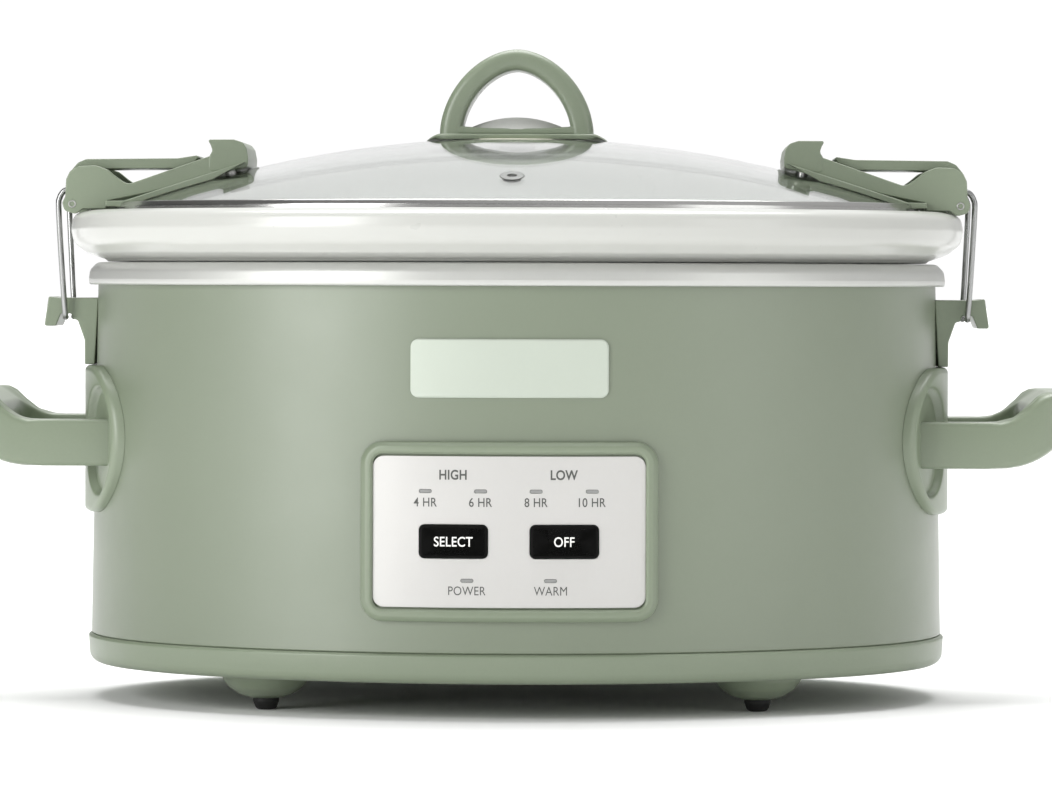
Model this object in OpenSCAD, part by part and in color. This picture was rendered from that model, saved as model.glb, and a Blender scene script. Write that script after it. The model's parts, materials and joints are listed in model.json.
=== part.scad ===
// Oval countertop slow cooker with a latching glass lid, a lift-out stoneware
// crock and a push-button control panel. +Z is up, the front panel faces -Y,
// and the origin is on the table, under the middle of the cooker.

/* [Housing] */
// Half-width of the painted wrapper at its top edge
wrapper_top_a = 162; // [156:1:164]
// How much wider the wrapper is at its bottom edge
wrapper_flare = 2.4; // [0:0.2:3]
// Thickness of the wrapper sheet
wrapper_t = 0.8; // [0.6:0.1:1]
// Height of the seam between base tray and wrapper
tray_top_z = 24.6; // [23:0.2:26]
// Height of the lower edge of the silver rim band
band_bottom_z = 158.7; // [157:0.1:159]
// Height of the top of the silver rim band
band_top_z = 167.4; // [167:0.1:168]

/* [Feet] */
// Distance of each foot from the centre line, left to right
foot_x = 92; // [84:1:98]
// Distance of each foot from the centre line, front to back
foot_y = 75; // [66:1:80]
// Height of the underside of the base tray
tray_bottom_z = 13.5; // [13:0.5:14]

/* [Lid] */
// Height of the top of the glass dome
dome_top_z = 216; // [214:0.5:218]
// Radius of the dome along the width
dome_rx = 440; // [430:5:460]
// Radius of the dome from front to back
dome_ry = 272.5; // [268:0.5:276]
// Thickness of the glass
glass_t = 3; // [2.6:0.2:3.2]
// Height of the top of the lid handle
handle_top_z = 250; // [246:1:254]

/* [Latches] */
// Distance of the lever pivot from the centre of the lid
pivot_x = 170.2; // [170:0.1:170.6]
// Height of the lever pivot
pivot_z = 189.7; // [189.5:0.1:190]
// Diameter of the bail wire
bail_d = 2.2; // [2:0.1:2.4]

/* [Side handles] */
// Distance of the end of each grip from the centre
grip_end_x = 222; // [218:1:226]
// Half of the overall width of each handle, front to back
arm_out_y = 46.5; // [45:0.5:48]
// Thickness of each handle arm
arm_t = 9.5; // [8:0.5:11]

/* [Control panel] */
// Width of the bezel
bezel_w = 108.8; // [104:0.2:110]
// Height of the bezel
bezel_h = 65.7; // [62:0.1:67]
// Height of the middle of the panel
panel_z = 69.3; // [68:0.1:71]
// Travel of the push buttons
button_travel = 0.6; // [0.4:0.1:0.7]

/* [Hidden] */
$fn = 96;
fine_fn = 360;   // for shallow pieces of large balls

sage = [0.56, 0.62, 0.52];
silver = [0.80, 0.80, 0.79];
steel = [0.62, 0.62, 0.62];
cream = [0.90, 0.90, 0.86];
black = [0.08, 0.08, 0.08];
fit = 0.05;      // running clearance round a pin
near = 0.3;      // gap between pieces that move apart
skin = 0.05;     // gap under a piece that sits on the wrapper
far = 400;       // longer than any piece, for cutting tools

// The oval outline: two end arcs and two side arcs that meet in a tangent.
// Every outline is named by its half-width a, and all outlines are parallel.
// The centres make a 3-4-5 triangle, so the arcs meet at exact numbers.
end_c = 51;                              // centre of the end arcs on X
side_c = 68;                             // centre of the side arcs on Y
arc_gap = norm([end_c, side_c]) - end_c; // side radius minus half-width
seam = [end_c, side_c] / norm([end_c, side_c]);

function half_depth(a) = a + arc_gap - side_c;
function wall_a(z) = wrapper_top_a + wrapper_flare
    * (band_bottom_z - z) / (band_bottom_z - tray_top_z);
function arc_pts(cx, cy, r, from, to, n = 6) =
    [for (i = [0:n]) let (t = from + (to - from) * i / n) [cx + r * cos(t), cy + r * sin(t)]];
function front_y(x, a) = side_c - sqrt(pow(a + arc_gap, 2) - x * x);

// Filled oval outline of half-width a.
module oval_2d(a) {
    for (s = [-1, 1]) {
        translate([s * end_c, 0])
            circle(r = a - end_c);
        intersection() {
            translate([0, -s * side_c])
                circle(r = a + arc_gap);
            translate([0, -s * side_c])
                polygon([[0, 0], [-far * seam[0], s * far * seam[1]], [far * seam[0], s * far * seam[1]]]);
        }
    }
}

// Sweeps a profile, drawn as half-width against height, round the oval.
module oval_ring() {
    for (s = [0, 180])
        rotate([0, 0, s]) {
            intersection() {
                translate([end_c, 0, 0])
                    rotate([0, 0, 180])
                        rotate_extrude()
                            translate([-end_c, 0])
                                children();
                wedge([end_c, 0], [seam[0], -seam[1]], seam);
            }
            intersection() {
                translate([0, side_c, 0])
                    rotate([0, 0, 90])
                        rotate_extrude()
                            translate([arc_gap, 0])
                                children();
                wedge([0, side_c], -seam, [seam[0], -seam[1]]);
            }
        }
}

// Tall prism between two directions from a corner.
module wedge(corner, from, to) {
    linear_extrude(far)
        translate(corner)
            polygon([[0, 0], far * from, far * to]);
}

// Sweeps a profile along the front side arc only.
module front_arc(half) {
    translate([0, side_c, 0])
        rotate([0, 0, -90 - half])
            rotate_extrude(angle = 2 * half)
                translate([arc_gap, 0])
                    children();
}

// A ring and the floor that closes it.
module oval_dish(floor_a, z0, z1) {
    union() {
        oval_ring()
            children();
        translate([0, 0, z0])
            linear_extrude(z1 - z0)
                oval_2d(floor_a);
    }
}

module oval_plate(a, z0, z1) {
    translate([0, 0, z0])
        linear_extrude(z1 - z0)
            oval_2d(a);
}

module rounded_rect(w, h, r) {
    square([w - 2 * r, h], center = true);
    square([w, h - 2 * r], center = true);
    for (x = [-1, 1])
        for (y = [-1, 1])
            translate([x * (w / 2 - r), y * (h / 2 - r)])
                circle(r = r);
}

// A 2D shape in X and Z, extruded along Y from y0 to y1.
module along_y(y0, y1) {
    translate([0, y1, 0])
        rotate([90, 0, 0])
            linear_extrude(y1 - y0)
                children();
}

// A 2D shape in Y and Z, extruded along X from x0 to x1.
module along_x(x0, x1) {
    translate([x0, 0, 0])
        rotate([90, 0, 90])
            linear_extrude(x1 - x0)
                children();
}

// Strip of profile parallel to the wrapper, from d0 to d1 outside its face.
module wall_strip(z0, z1, d0, d1) {
    polygon([[wall_a(z0) + d0, z0], [wall_a(z0) + d1, z0],
             [wall_a(z1) + d1, z1], [wall_a(z1) + d0, z1]]);
}

// Rounded rectangle laid on the curved front of the wrapper.
module front_skin(w, h, r, x, z, d0, d1) {
    margin = 2;
    intersection() {
        front_arc(20)
            wall_strip(z - h / 2 - margin, z + h / 2 + margin, d0, d1);
        along_y(-far, -60)
            translate([x, z])
                rounded_rect(w, h, r);
    }
}

module mirrored_x(side) {
    if (side > 0)
        children();
    else
        mirror([1, 0, 0])
            children();
}

function unit(v) = v / norm(v);
function heading(path, i) =
    let (last = len(path) - 1)
    unit(path[min(i + 1, last)] - path[max(i - 1, 0)]);

// Round wire swept along a path; ref is any direction the wire never takes.
module wire(path, r, ref = [1, -1, 1], sides = 10) {
    last = len(path) - 1;
    rings = [for (i = [0:last])
        let (t = heading(path, i), u = unit(cross(t, ref)), w = cross(t, u))
        [for (k = [0:sides - 1]) path[i] + r * (cos(360 * k / sides) * u + sin(360 * k / sides) * w)]];
    sleeve = [for (i = [0:last - 1])
        for (k = [0:sides - 1])
            let (a = i * sides + k, b = i * sides + (k + 1) % sides)
            for (face = [[a, a + sides, b + sides], [a, b + sides, b]])
                face];
    near_end = [for (k = [0:sides - 1]) k];
    far_end = [for (k = [sides - 1:-1:0]) last * sides + k];
    polyhedron(points = [for (ring = rings) each ring], faces = concat([near_end], sleeve, [far_end]));
}

// ---------------------------------------------------------------- housing

tray_a = 165.6;
tray_wall = 3;
tray_floor = 2.5;
tray_round = 4;
cone_r = 16.5;
cone_tip_r = 5;
cone_tip_z = 4.5;
foot_r = 4.6;
foot_stem_r = 2.6;
foot_stem_top = 11;
stud_r = 2.5;
stud_boss_r = 9;
vent_slot = [4, 26];

module at_feet() {
    for (x = [-foot_x, foot_x])
        for (y = [-foot_y, foot_y])
            translate([x, y, 0])
                children();
}

module base_tray() {
    inner_a = tray_a - tray_wall;
    inner_z = tray_bottom_z + tray_floor;
    color(sage)
        difference() {
            union() {
                oval_dish(130, tray_bottom_z, inner_z)
                    polygon(concat(
                        [[120, tray_bottom_z]],
                        arc_pts(tray_a - tray_round, tray_bottom_z + tray_round, tray_round, -90, 0),
                        [[tray_a, tray_top_z], [inner_a, tray_top_z], [inner_a, inner_z], [120, inner_z]]));
                at_feet()
                    translate([0, 0, cone_tip_z])
                        cylinder(h = tray_bottom_z - cone_tip_z, r1 = cone_tip_r, r2 = cone_r);
                cylinder_boss(stud_boss_r, inner_z - 0.5, 22);
            }
            at_feet()
                translate([0, 0, cone_tip_z - 1])
                    cylinder(h = foot_stem_top - cone_tip_z + 1, r = foot_stem_r);
            translate([0, 0, 5])
                cylinder(h = 25, r = stud_r + 0.3);
            for (x = [-40:10:40])
                for (s = [-1, 1])
                    translate([x, s * 60, tray_bottom_z])
                        cube([vent_slot[0], vent_slot[1], 3 * tray_floor], center = true);
        }
}

module cylinder_boss(r, z0, z1) {
    translate([0, 0, z0])
        cylinder(h = z1 - z0, r = r);
}

module rubber_feet() {
    color(black)
        at_feet() {
            cylinder(h = cone_tip_z, r = foot_r);
            translate([0, 0, cone_tip_z - 0.5])
                cylinder(h = foot_stem_top - cone_tip_z, r = foot_stem_r - skin);
        }
}

pan_flange_z = 165.6;
gland_z = 36;
gland_hole_r = 6;
cutout = [96, 52];
cutout_r = 3;
hook_screw_y = 7;
hook_screw_z = 134;
handle_screw_y = arm_out_y - arm_t / 2;
handle_screw_z = 98.1;
handle_screw_r = 2;
hook_screw_r = 1.5;

module outer_wrapper() {
    color(sage)
        difference() {
            oval_ring()
                wall_strip(tray_top_z, pan_flange_z, -wrapper_t, 0);
            along_y(-far, -60)
                translate([0, panel_z])
                    rounded_rect(cutout[0], cutout[1], cutout_r);
            translate([0, 100, gland_z])
                rotate([-90, 0, 0])
                    cylinder(h = 60, r = gland_hole_r);
            at_handle_screws()
                cylinder(h = 60, r = handle_screw_r + 0.15);
            at_hook_screws()
                cylinder(h = 60, r = hook_screw_r + 0.15);
        }
}

// Four handle screws, pointing outwards from inside the wrapper.
module at_handle_screws() {
    for (s = [0, 1])
        for (y = [-handle_screw_y, handle_screw_y])
            mirror([s, 0, 0])
                translate([140, y, handle_screw_z])
                    rotate([0, 90, 0])
                        children();
}

module at_hook_screws() {
    for (s = [0, 1])
        for (y = [-hook_screw_y, hook_screw_y])
            mirror([s, 0, 0])
                translate([140, y, hook_screw_z])
                    rotate([0, 90, 0])
                        children();
}

rim_a = 165.7;
rim_t = 1;
rim_round = 4;
rim_inner_a = 151;

module rim_band() {
    z0 = band_bottom_z + 0.1;
    color(silver)
        oval_ring()
            polygon(concat(
                [[rim_a - 3, z0], [rim_a, z0]],
                arc_pts(rim_a - rim_round, band_top_z - rim_round, rim_round, 0, 90),
                [[rim_inner_a, band_top_z], [rim_inner_a, band_top_z - rim_t]],
                arc_pts(rim_a - rim_round, band_top_z - rim_round, rim_round - rim_t, 90, 0),
                [[rim_a - rim_t, z0 + rim_t], [rim_a - 3, z0 + rim_t]]));
}

pan_floor_z = 45.4;
pan_t = 0.8;
pan_wall_z = 51;
pan_wall_a = 144.4;
pan_top_a = 150.8;
pan_flange_a = 161.3;
function pan_a(z) = pan_wall_a + (pan_top_a - pan_wall_a)
    * (z - pan_wall_z) / (pan_flange_z - pan_wall_z);

module heating_pan() {
    color(steel)
        oval_dish(120, pan_floor_z, pan_floor_z + pan_t)
            polygon([[110, pan_floor_z], [138, pan_floor_z], [143, 47.5], [pan_wall_a, pan_wall_z],
                     [pan_top_a, pan_flange_z], [pan_flange_a, pan_flange_z],
                     [pan_flange_a, pan_flange_z + pan_t],
                     [pan_top_a - pan_t, pan_flange_z + pan_t], [pan_wall_a - pan_t, pan_wall_z],
                     [142.4, 48.2], [137.8, pan_floor_z + pan_t], [110, pan_floor_z + pan_t]]);
}

heater_z = [58, 102];
heater_d = [0.1, 2.4];

module heater_band() {
    color([0.75, 0.70, 0.58])
        oval_ring()
            polygon([for (d = heater_d) for (z = d == heater_d[0] ? heater_z : [heater_z[1], heater_z[0]])
                     [pan_a(z) + d, z]]);
}

wrap_z = [52, 150];
wrap_d = [2.7, 8.7];

module insulation_wrap() {
    color([0.93, 0.90, 0.80])
        difference() {
            oval_ring()
                polygon([for (corner = [[0, 0], [1, 0], [1, 1], [0, 1]])
                         [pan_a(wrap_z[corner[1]]) + wrap_d[corner[0]], wrap_z[corner[1]]]]);
            translate([-60, -far, 30])
                cube([120, far, 78]);
        }
}

stud_bottom_z = 6.5;
washer_t = 1.2;
nut_t = 4;
nut_r = 4.6;

module pan_stud() {
    color(steel)
        translate([0, 0, stud_bottom_z])
            cylinder(h = pan_floor_z - stud_bottom_z, r = stud_r);
}

module stud_washer() {
    color(silver)
        difference() {
            translate([0, 0, tray_bottom_z - washer_t])
                cylinder(h = washer_t, r = 10);
            cylinder(h = 20, r = stud_r + fit);
        }
}

module stud_nut() {
    z1 = tray_bottom_z - washer_t;
    color(silver)
        difference() {
            translate([0, 0, z1 - nut_t])
                cylinder(h = nut_t, r = nut_r, $fn = 6);
            cylinder(h = 20, r = stud_r + 0.02);
        }
}

sensor_at = [0, -58];
fuse_at = [46, 30];
fuse_r = 2.2;

module temperature_sensor() {
    color(steel)
        translate([sensor_at[0], sensor_at[1], 0]) {
            translate([0, 0, pan_floor_z - 1.2])
                cylinder(h = 1.2, r = 7);
            translate([0, 0, pan_floor_z - 6])
                cylinder(h = 5.5, r = 4);
        }
}

module thermal_fuse() {
    color(cream)
        translate([fuse_at[0] - 7, fuse_at[1], pan_floor_z - fuse_r])
            rotate([0, 90, 0])
                cylinder(h = 14, r = fuse_r);
}

// ---------------------------------------------------------- control panel

window = [99.6, 55.1];
bezel_r = 8.3;
window_r = 4.2;
bezel_proud = 3.6;
bezel_step = 1.3;
plate_front = 2.0;
plate_back = 0.8;
plate_gap = 0.2;
skirt_t = 1.5;
skirt_gap = 0.4;
board_y = -120.5;
board_t = 1.6;
board = [88, 46];
board_boss_r = 5.5;
board_screw = [1.15, 3];
button = [24.7, 11.9];
button_r = 1.8;
button_x = 20.2;
button_z = 65.8;
button_proud = 2.9;
button_back = 1.2;
lamp = [4.7, 1.4];
upper_lamps = [-30.5, -10.3, 9.9, 30.3];
upper_lamp_z = 84.1;
lower_lamps = [-15.2, 15.2];
lower_lamp_z = 51.6;

module at_lamps() {
    for (x = upper_lamps)
        translate([x, 0, upper_lamp_z])
            children();
    for (x = lower_lamps)
        translate([x, 0, lower_lamp_z])
            children();
}

// Bezel with a skirt through the cut-out and four bosses for the board.
module control_bezel() {
    outer = [cutout[0] - 2 * skirt_gap, cutout[1] - 2 * skirt_gap];
    inner = [outer[0] - 2 * skirt_t, outer[1] - 2 * skirt_t];
    color(sage)
        difference() {
            union() {
                difference() {
                    union() {
                        front_skin(bezel_w, bezel_h, bezel_r, 0, panel_z, skin, bezel_proud - bezel_step);
                        front_skin(bezel_w - 2 * bezel_step, bezel_h - 2 * bezel_step,
                                   bezel_r - bezel_step, 0, panel_z, skin, bezel_proud);
                    }
                    front_skin(window[0], window[1], window_r, 0, panel_z, plate_back, 8);
                    along_y(-far, -60)
                        translate([0, panel_z])
                            rounded_rect(inner[0], inner[1], 1);
                }
                intersection() {
                    union() {
                        along_y(-140, board_y - 1)
                            translate([0, panel_z])
                                difference() {
                                    rounded_rect(outer[0], outer[1], 2);
                                    rounded_rect(inner[0], inner[1], 1);
                                }
                        at_board_screws()
                            translate([0, 0, board_t])
                                cylinder(h = 20, r = board_boss_r);
                    }
                    front_arc(20)
                        wall_strip(panel_z - 40, panel_z + 40, -20, near);
                }
            }
            at_board_screws()
                cylinder(h = board_screw[1] + 1, r = board_screw[0] + 0.02);
        }
}

module face_plate() {
    hole = [button[0] + 2 * near, button[1] + 2 * near];
    color(silver)
        difference() {
            front_skin(window[0] - 2 * plate_gap, window[1] - 2 * plate_gap, window_r - plate_gap,
                       0, panel_z, plate_back + 0.05, plate_front);
            for (x = [-button_x, button_x])
                translate([x, 0, button_z])
                    along_y(-far, -60)
                        rounded_rect(hole[0], hole[1], button_r + near);
            at_lamps()
                along_y(-far, -60)
                    square(lamp, center = true);
        }
}

badge = [72.3, 21.4];
badge_r = 3;
badge_z = 128.8;

module badge_plate() {
    color(silver)
        front_skin(badge[0], badge[1], badge_r, 0, badge_z, skin, 0.9);
}

module indicator_lenses() {
    lens_gap = 0.1;
    color(cream)
        intersection() {
            at_lamps()
                along_y(-150, board_y - 1.8)
                    square([lamp[0] - 2 * lens_gap, lamp[1] - 2 * lens_gap], center = true);
            front_arc(20)
                wall_strip(panel_z - 40, panel_z + 40, -20, plate_front);
        }
}

module control_board() {
    color([0.12, 0.36, 0.20])
        difference() {
            along_y(board_y, board_y + board_t)
                translate([0, panel_z])
                    square(board, center = true);
            at_board_screws()
                translate([0, 0, -5])
                    cylinder(h = 10, r = 1.2);
        }
}

// Screws of the board, pointing forwards, with their origin on its back.
module at_board_screws() {
    for (x = [-1, 1])
        for (z = [-1, 1])
            translate([x * (board[0] / 2 - 3), board_y + board_t, panel_z + z * (board[1] / 2 - 3)])
                rotate([90, 0, 0])
                    children();
}

module board_screws() {
    color(silver)
        at_board_screws() {
            translate([0, 0, -1.4])
                cylinder(h = 1.4, r = 2);
            translate([0, 0, -0.5])
                cylinder(h = board_screw[1] + 0.5, r = board_screw[0]);
        }
}

switch_body = 6;
switch_t = 3;
plunger_top_y = board_y - 4.4;

module tact_switches() {
    for (x = [-button_x, button_x])
        translate([x, 0, button_z]) {
            color(black)
                along_y(board_y - switch_t, board_y)
                    square(switch_body, center = true);
            color(steel)
                translate([0, board_y - switch_t + 0.2, 0])
                    rotate([90, 0, 0])
                        cylinder(h = board_y - switch_t - plunger_top_y + 0.2, r = 1.7);
        }
}

module indicator_leds() {
    color([0.95, 0.80, 0.35])
        at_lamps()
            along_y(board_y - 1.5, board_y)
                square([3.2, 1.3], center = true);
}

module power_relay() {
    color([0.15, 0.35, 0.65])
        translate([26, board_y + board_t, panel_z - 2])
            cube([14, 5, 18]);
}

module capacitor() {
    color(black)
        translate([-30, board_y + board_t, panel_z + 12])
            rotate([-90, 0, 0])
                cylinder(h = 4, r = 4.5);
}

module transformer() {
    color([0.80, 0.62, 0.20])
        translate([-41, board_y + board_t, panel_z - 18])
            cube([14, 5, 16]);
}

// Push button with a retaining flange and a stem for its switch.
module push_button(x) {
    face_y = front_y(x, wall_a(button_z)) - button_proud;
    stem_end_y = plunger_top_y - button_travel - near;
    color(black)
        union() {
            front_skin(button[0], button[1], button_r, x, button_z, -button_back, button_proud);
            front_skin(button[0] + 2, button[1] + 2, button_r, x, button_z, -0.5, 0.5);
            translate([x, stem_end_y, button_z])
                rotate([90, 0, 0])
                    cylinder(h = stem_end_y - face_y - button_proud - 0.5, r = 2);
        }
}

module select_button() {
    push_button(-button_x);
}

module off_button() {
    push_button(button_x);
}

// ------------------------------------------------------- wiring and gland

block_at = [34, 96, tray_bottom_z + tray_floor];
lead_r = 1.1;
lead_z = 20;

module terminal_block() {
    color(cream)
        translate(block_at)
            cube([26, 12, 10]);
}

module mains_leads() {
    for (i = [0, 1])
        let (x0 = block_at[0] + 6 + 12 * i, x1 = -8 + 6 * i)
            color(i == 0 ? black : cream)
                wire([[x0, block_at[1] - lead_r, lead_z + 1], [x0, 80, lead_z], [70 + 6 * i, 40, lead_z],
                      [66 + 6 * i, -60, lead_z], [48 + 6 * i, -104 - 4 * i, lead_z],
                      [x1 + 30, board_y + board_t + 4, 34], [x1 + 30, board_y + board_t + 4, 44 + 3 * i],
                      [x1 + 30, board_y + board_t + lead_r, 49 + 3 * i]], lead_r);
}

module heater_leads() {
    for (i = [0, 1])
        let (x = 8 + 12 * i)
            color([0.85, 0.80, 0.70])
                wire([[x, board_y + board_t + lead_r, 86], [x, -116.9, 92], [x, -116.65, 99]], lead_r);
}

module sensor_lead() {
    color(cream)
        wire([[sensor_at[0], sensor_at[1] - 4.5, pan_floor_z - 4], [0, -80, pan_floor_z - 8],
              [-6, -112, pan_floor_z - 4], [-8, board_y + board_t + 1, panel_z - 17]], 0.9);
}

gland_out_y = 134.5;
gland_in_y = 120;
gland_bore_r = 3.5;
gland_flange = [9, 3];
gland_nut = [8, 2];
gland_gap = 0.2;

module cord_gland() {
    wall_y = half_depth(wall_a(gland_z));
    color(black)
        difference() {
            union() {
                translate([0, gland_in_y, gland_z])
                    rotate([-90, 0, 0])
                        cylinder(h = gland_out_y - gland_in_y, r = gland_hole_r - fit);
                translate([0, wall_y + gland_gap, gland_z])
                    rotate([-90, 0, 0])
                        cylinder(h = gland_flange[1], r = gland_flange[0]);
                translate([0, wall_y - wrapper_t - gland_nut[1] - 3 * gland_gap, gland_z])
                    rotate([-90, 0, 0])
                        cylinder(h = gland_nut[1], r = gland_nut[0]);
            }
            translate([0, gland_in_y - 1, gland_z])
                rotate([-90, 0, 0])
                    cylinder(h = 20, r = gland_bore_r);
        }
}

// ------------------------------------------------ side handles and hooks

esc_z = 99.7;
esc_h = 56;
esc_half_y = 58.5;
esc_a = 167;
pocket_floor = 1;
pocket_y = 44;
pocket_r = 20;
pocket_rim = 2.8;
arm_z = [88.6, 107.6];
arm_fit = 0.15;

// Stadium outline in Y and Z for the plate behind a side handle.
module stadium(half_w, h) {
    for (s = [-1, 1])
        translate([s * (half_w - h / 2), 0])
            circle(d = h);
    square([2 * half_w - h, h], center = true);
}

module escutcheon(side) {
    z0 = esc_z - esc_h / 2 - 2;
    z1 = esc_z + esc_h / 2 + 2;
    color(sage)
        mirrored_x(side)
            difference() {
                intersection() {
                    end_arc(38)
                        polygon([[wall_a(z0) + skin, z0], [esc_a, z0], [esc_a, z1],
                                 [wall_a(z1) + skin, z1]]);
                    along_x(100, 200)
                        translate([0, esc_z])
                            stadium(esc_half_y, esc_h);
                }
                intersection() {
                    end_arc(38)
                        polygon([[wall_a(z0) + pocket_floor, z0], [esc_a + 5, z0],
                                 [esc_a + 5, z1], [wall_a(z1) + pocket_floor, z1]]);
                    along_x(100, 200)
                        translate([0, esc_z])
                            stadium(esc_half_y - pocket_rim, esc_h - 2 * pocket_rim);
                    along_x(100, 200)
                        for (s = [-1, 1])
                            translate([s * pocket_y, esc_z])
                                circle(r = pocket_r);
                }
                for (s = [-1, 1])
                    translate([100, s * handle_screw_y - arm_t / 2 - arm_fit, arm_z[0] - arm_fit])
                        cube([100, arm_t + 2 * arm_fit, arm_z[1] - arm_z[0] + 2 * arm_fit]);
            }
}

// Sweeps a profile round the right-hand end arc.
module end_arc(half) {
    translate([end_c, 0, 0])
        rotate([0, 0, -half])
            rotate_extrude(angle = 2 * half)
                translate([-end_c, 0])
                    children();
}

grip_depth = 26;
corner_r = 26;
grip_top_z = 119.3;
wall_gap = 0.1;

// Side view of a handle: a level arm that sweeps up into the grip.
module handle_profile() {
    polygon(concat(
        [[150, arm_z[0]]],
        arc_pts(184, arm_z[0] + 34, 34, -90, -42, 8),
        arc_pts(grip_end_x - 8, 109, 8, -30, 80, 6),
        [[grip_end_x - 22, grip_top_z - 0.7]],
        arc_pts(183, arm_z[1] + 18, 18, -40, -90, 6),
        [[150, arm_z[1]]]));
}

// Plan view of a handle: a U that is open towards the housing.
module handle_plan() {
    inner_y = arm_out_y - arm_t;
    inner_x = grip_end_x - grip_depth;
    difference() {
        union() {
            translate([100, -arm_out_y])
                square([grip_end_x - 100 - corner_r, 2 * arm_out_y]);
            translate([grip_end_x - corner_r - 1, -arm_out_y + corner_r])
                square([corner_r + 1, 2 * (arm_out_y - corner_r)]);
            for (s = [-1, 1])
                translate([grip_end_x - corner_r, s * (arm_out_y - corner_r)])
                    circle(r = corner_r);
        }
        translate([90, -inner_y])
            square([inner_x - 90 - 14, 2 * inner_y]);
        translate([inner_x - 15, -inner_y + 14])
            square([15, 2 * (inner_y - 14)]);
        for (s = [-1, 1])
            translate([inner_x - 14, s * (inner_y - 14)])
                circle(r = 14);
    }
}

module side_handle(side) {
    z0 = arm_z[0] - 5;
    z1 = grip_top_z + 5;
    color(sage)
        mirrored_x(side)
            difference() {
                intersection() {
                    along_y(-60, 60)
                        handle_profile();
                    translate([0, 0, z0])
                        linear_extrude(z1 - z0)
                            handle_plan();
                }
                end_arc(50)
                    polygon([[60, z0], [wall_a(z0) + wall_gap, z0], [wall_a(z1) + wall_gap, z1], [60, z1]]);
                for (y = [-handle_screw_y, handle_screw_y])
                    translate([100, y, handle_screw_z])
                        rotate([0, 90, 0])
                            cylinder(h = 70, r = handle_screw_r + 0.02);
            }
}

module handle_screws() {
    inner_x = end_c + sqrt(pow(wall_a(handle_screw_z) - wrapper_t - end_c, 2)
        - pow(handle_screw_y + 4, 2)) - 140;
    color(steel)
        at_handle_screws() {
            translate([0, 0, inner_x - 3.2])
                cylinder(h = 3, r = 4);
            translate([0, 0, inner_x - 1])
                cylinder(h = 28.5 - inner_x, r = handle_screw_r);
        }
}

hook_y = 14;
hook_top_z = 153.7;
hook_low_z = 128;
hook_plate = 166.4;
notch_x = 173.6;
notch_z = 147.6;

module hook_profile() {
    polygon([[150, hook_top_z], [176.5, hook_top_z], [180.4, hook_top_z + 0.5], [182.1, 142.8],
             [177.6, 142.8], [notch_x + 2, notch_z], [notch_x - 2, notch_z], [notch_x - 2.6, 145.4],
             [169.2, 145.2], [hook_plate, 137.5], [hook_plate, hook_low_z], [150, hook_low_z]]);
}

module hook_bracket(side) {
    color(sage)
        mirrored_x(side)
            difference() {
                along_y(-hook_y, hook_y)
                    hook_profile();
                end_arc(30)
                    polygon([[60, 110], [wall_a(110) + wall_gap, 110],
                             [wall_a(pan_flange_z) + wall_gap, pan_flange_z], [60, pan_flange_z]]);
                for (y = [-hook_screw_y, hook_screw_y])
                    translate([150, y, hook_screw_z])
                        rotate([0, 90, 0])
                            cylinder(h = 15.4, r = hook_screw_r + 0.02);
            }
}

module hook_screws() {
    inner_x = end_c + sqrt(pow(wall_a(hook_screw_z) - wrapper_t - end_c, 2)
        - pow(hook_screw_y + 3, 2)) - 140;
    color(steel)
        at_hook_screws() {
            translate([0, 0, inner_x - 2.1])
                cylinder(h = 2, r = 3);
            translate([0, 0, inner_x - 1])
                cylinder(h = 26 - inner_x, r = hook_screw_r);
        }
}

// -------------------------------------------------------------- stoneware

crock_foot_z = 48;
crock_floor_z = 56;
ledge_z = 183.1;
crock_top_z = 187.4;
crock_seat_z = band_top_z + near;

module stoneware_crock() {
    color(cream)
        oval_dish(114, crock_foot_z, crock_floor_z)
            polygon(concat(
                [[104, crock_foot_z]],
                arc_pts(128, 61, 13, -90, -4, 5),
                [[147.5, crock_seat_z], [158.3, crock_seat_z], [158.8, 168.3], [166, 170.8],
                 [169.5, 173.5], [171.8, 177], [172.5, 180.5], [172.4, 182.2], [171.2, 184.9],
                 [168.5, 186.7], [165, crock_top_z], [160, crock_top_z], [157.6, 186.6], [157, 185],
                 [157, ledge_z], [146, ledge_z], [143.5, 182.2], [142, 180], [141, 176]],
                arc_pts(123.4, 67, 11, -3, -90, 5),
                [[104, crock_floor_z]]));
}

// -------------------------------------------------------------------- lid

dome_axis_z = dome_top_z - dome_rx;
dome_major = dome_rx - dome_ry;
glass_a = 154.2;
bowl_r = 37;
bowl_bottom_z = 211.7;
bowl_t = 2.2;
bowl_radius = (35.5 * 35.5) / (2 * 3.3);
stem_r = 2.7;
vent_y = -94;
rivet_x = 110;
rivet_y = 15;
rivet_r = 2;

function dome_z(x, y) = dome_axis_z + sqrt(pow(dome_major + sqrt(dome_ry * dome_ry - y * y), 2) - x * x);

// Everything below the dome's outer face, sunk by the given depth.
module dome_solid(sink) {
    translate([0, 0, dome_axis_z])
        rotate([90, 0, 0])
            rotate([0, 0, 60])
                rotate_extrude(angle = 60, $fn = fine_fn)
                    intersection() {
                        translate([dome_major, 0])
                            circle(r = dome_ry - sink, $fn = fine_fn);
                        translate([dome_rx - 70, -150])
                            square([80, 300]);
                    }
}

// Places children on the dome's outer face, with their Z along its normal.
module on_dome(x, y) {
    lean = asin(y / dome_ry);
    turn = atan2(x, dome_z(x, y) - dome_axis_z);
    translate([x, y, dome_z(x, y)])
        rotate([0, turn, 0])
            rotate([-lean, 0, 0])
                children();
}

module at_rivets() {
    for (x = [-rivet_x, rivet_x])
        for (y = [-rivet_y, rivet_y])
            on_dome(x, y)
                children();
}

// The dimple under the handle, as the ball that presses it into the dome.
module bowl_ball(grow) {
    translate([0, 0, bowl_bottom_z + bowl_radius])
        sphere(r = bowl_radius + grow, $fn = fine_fn);
}

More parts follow.
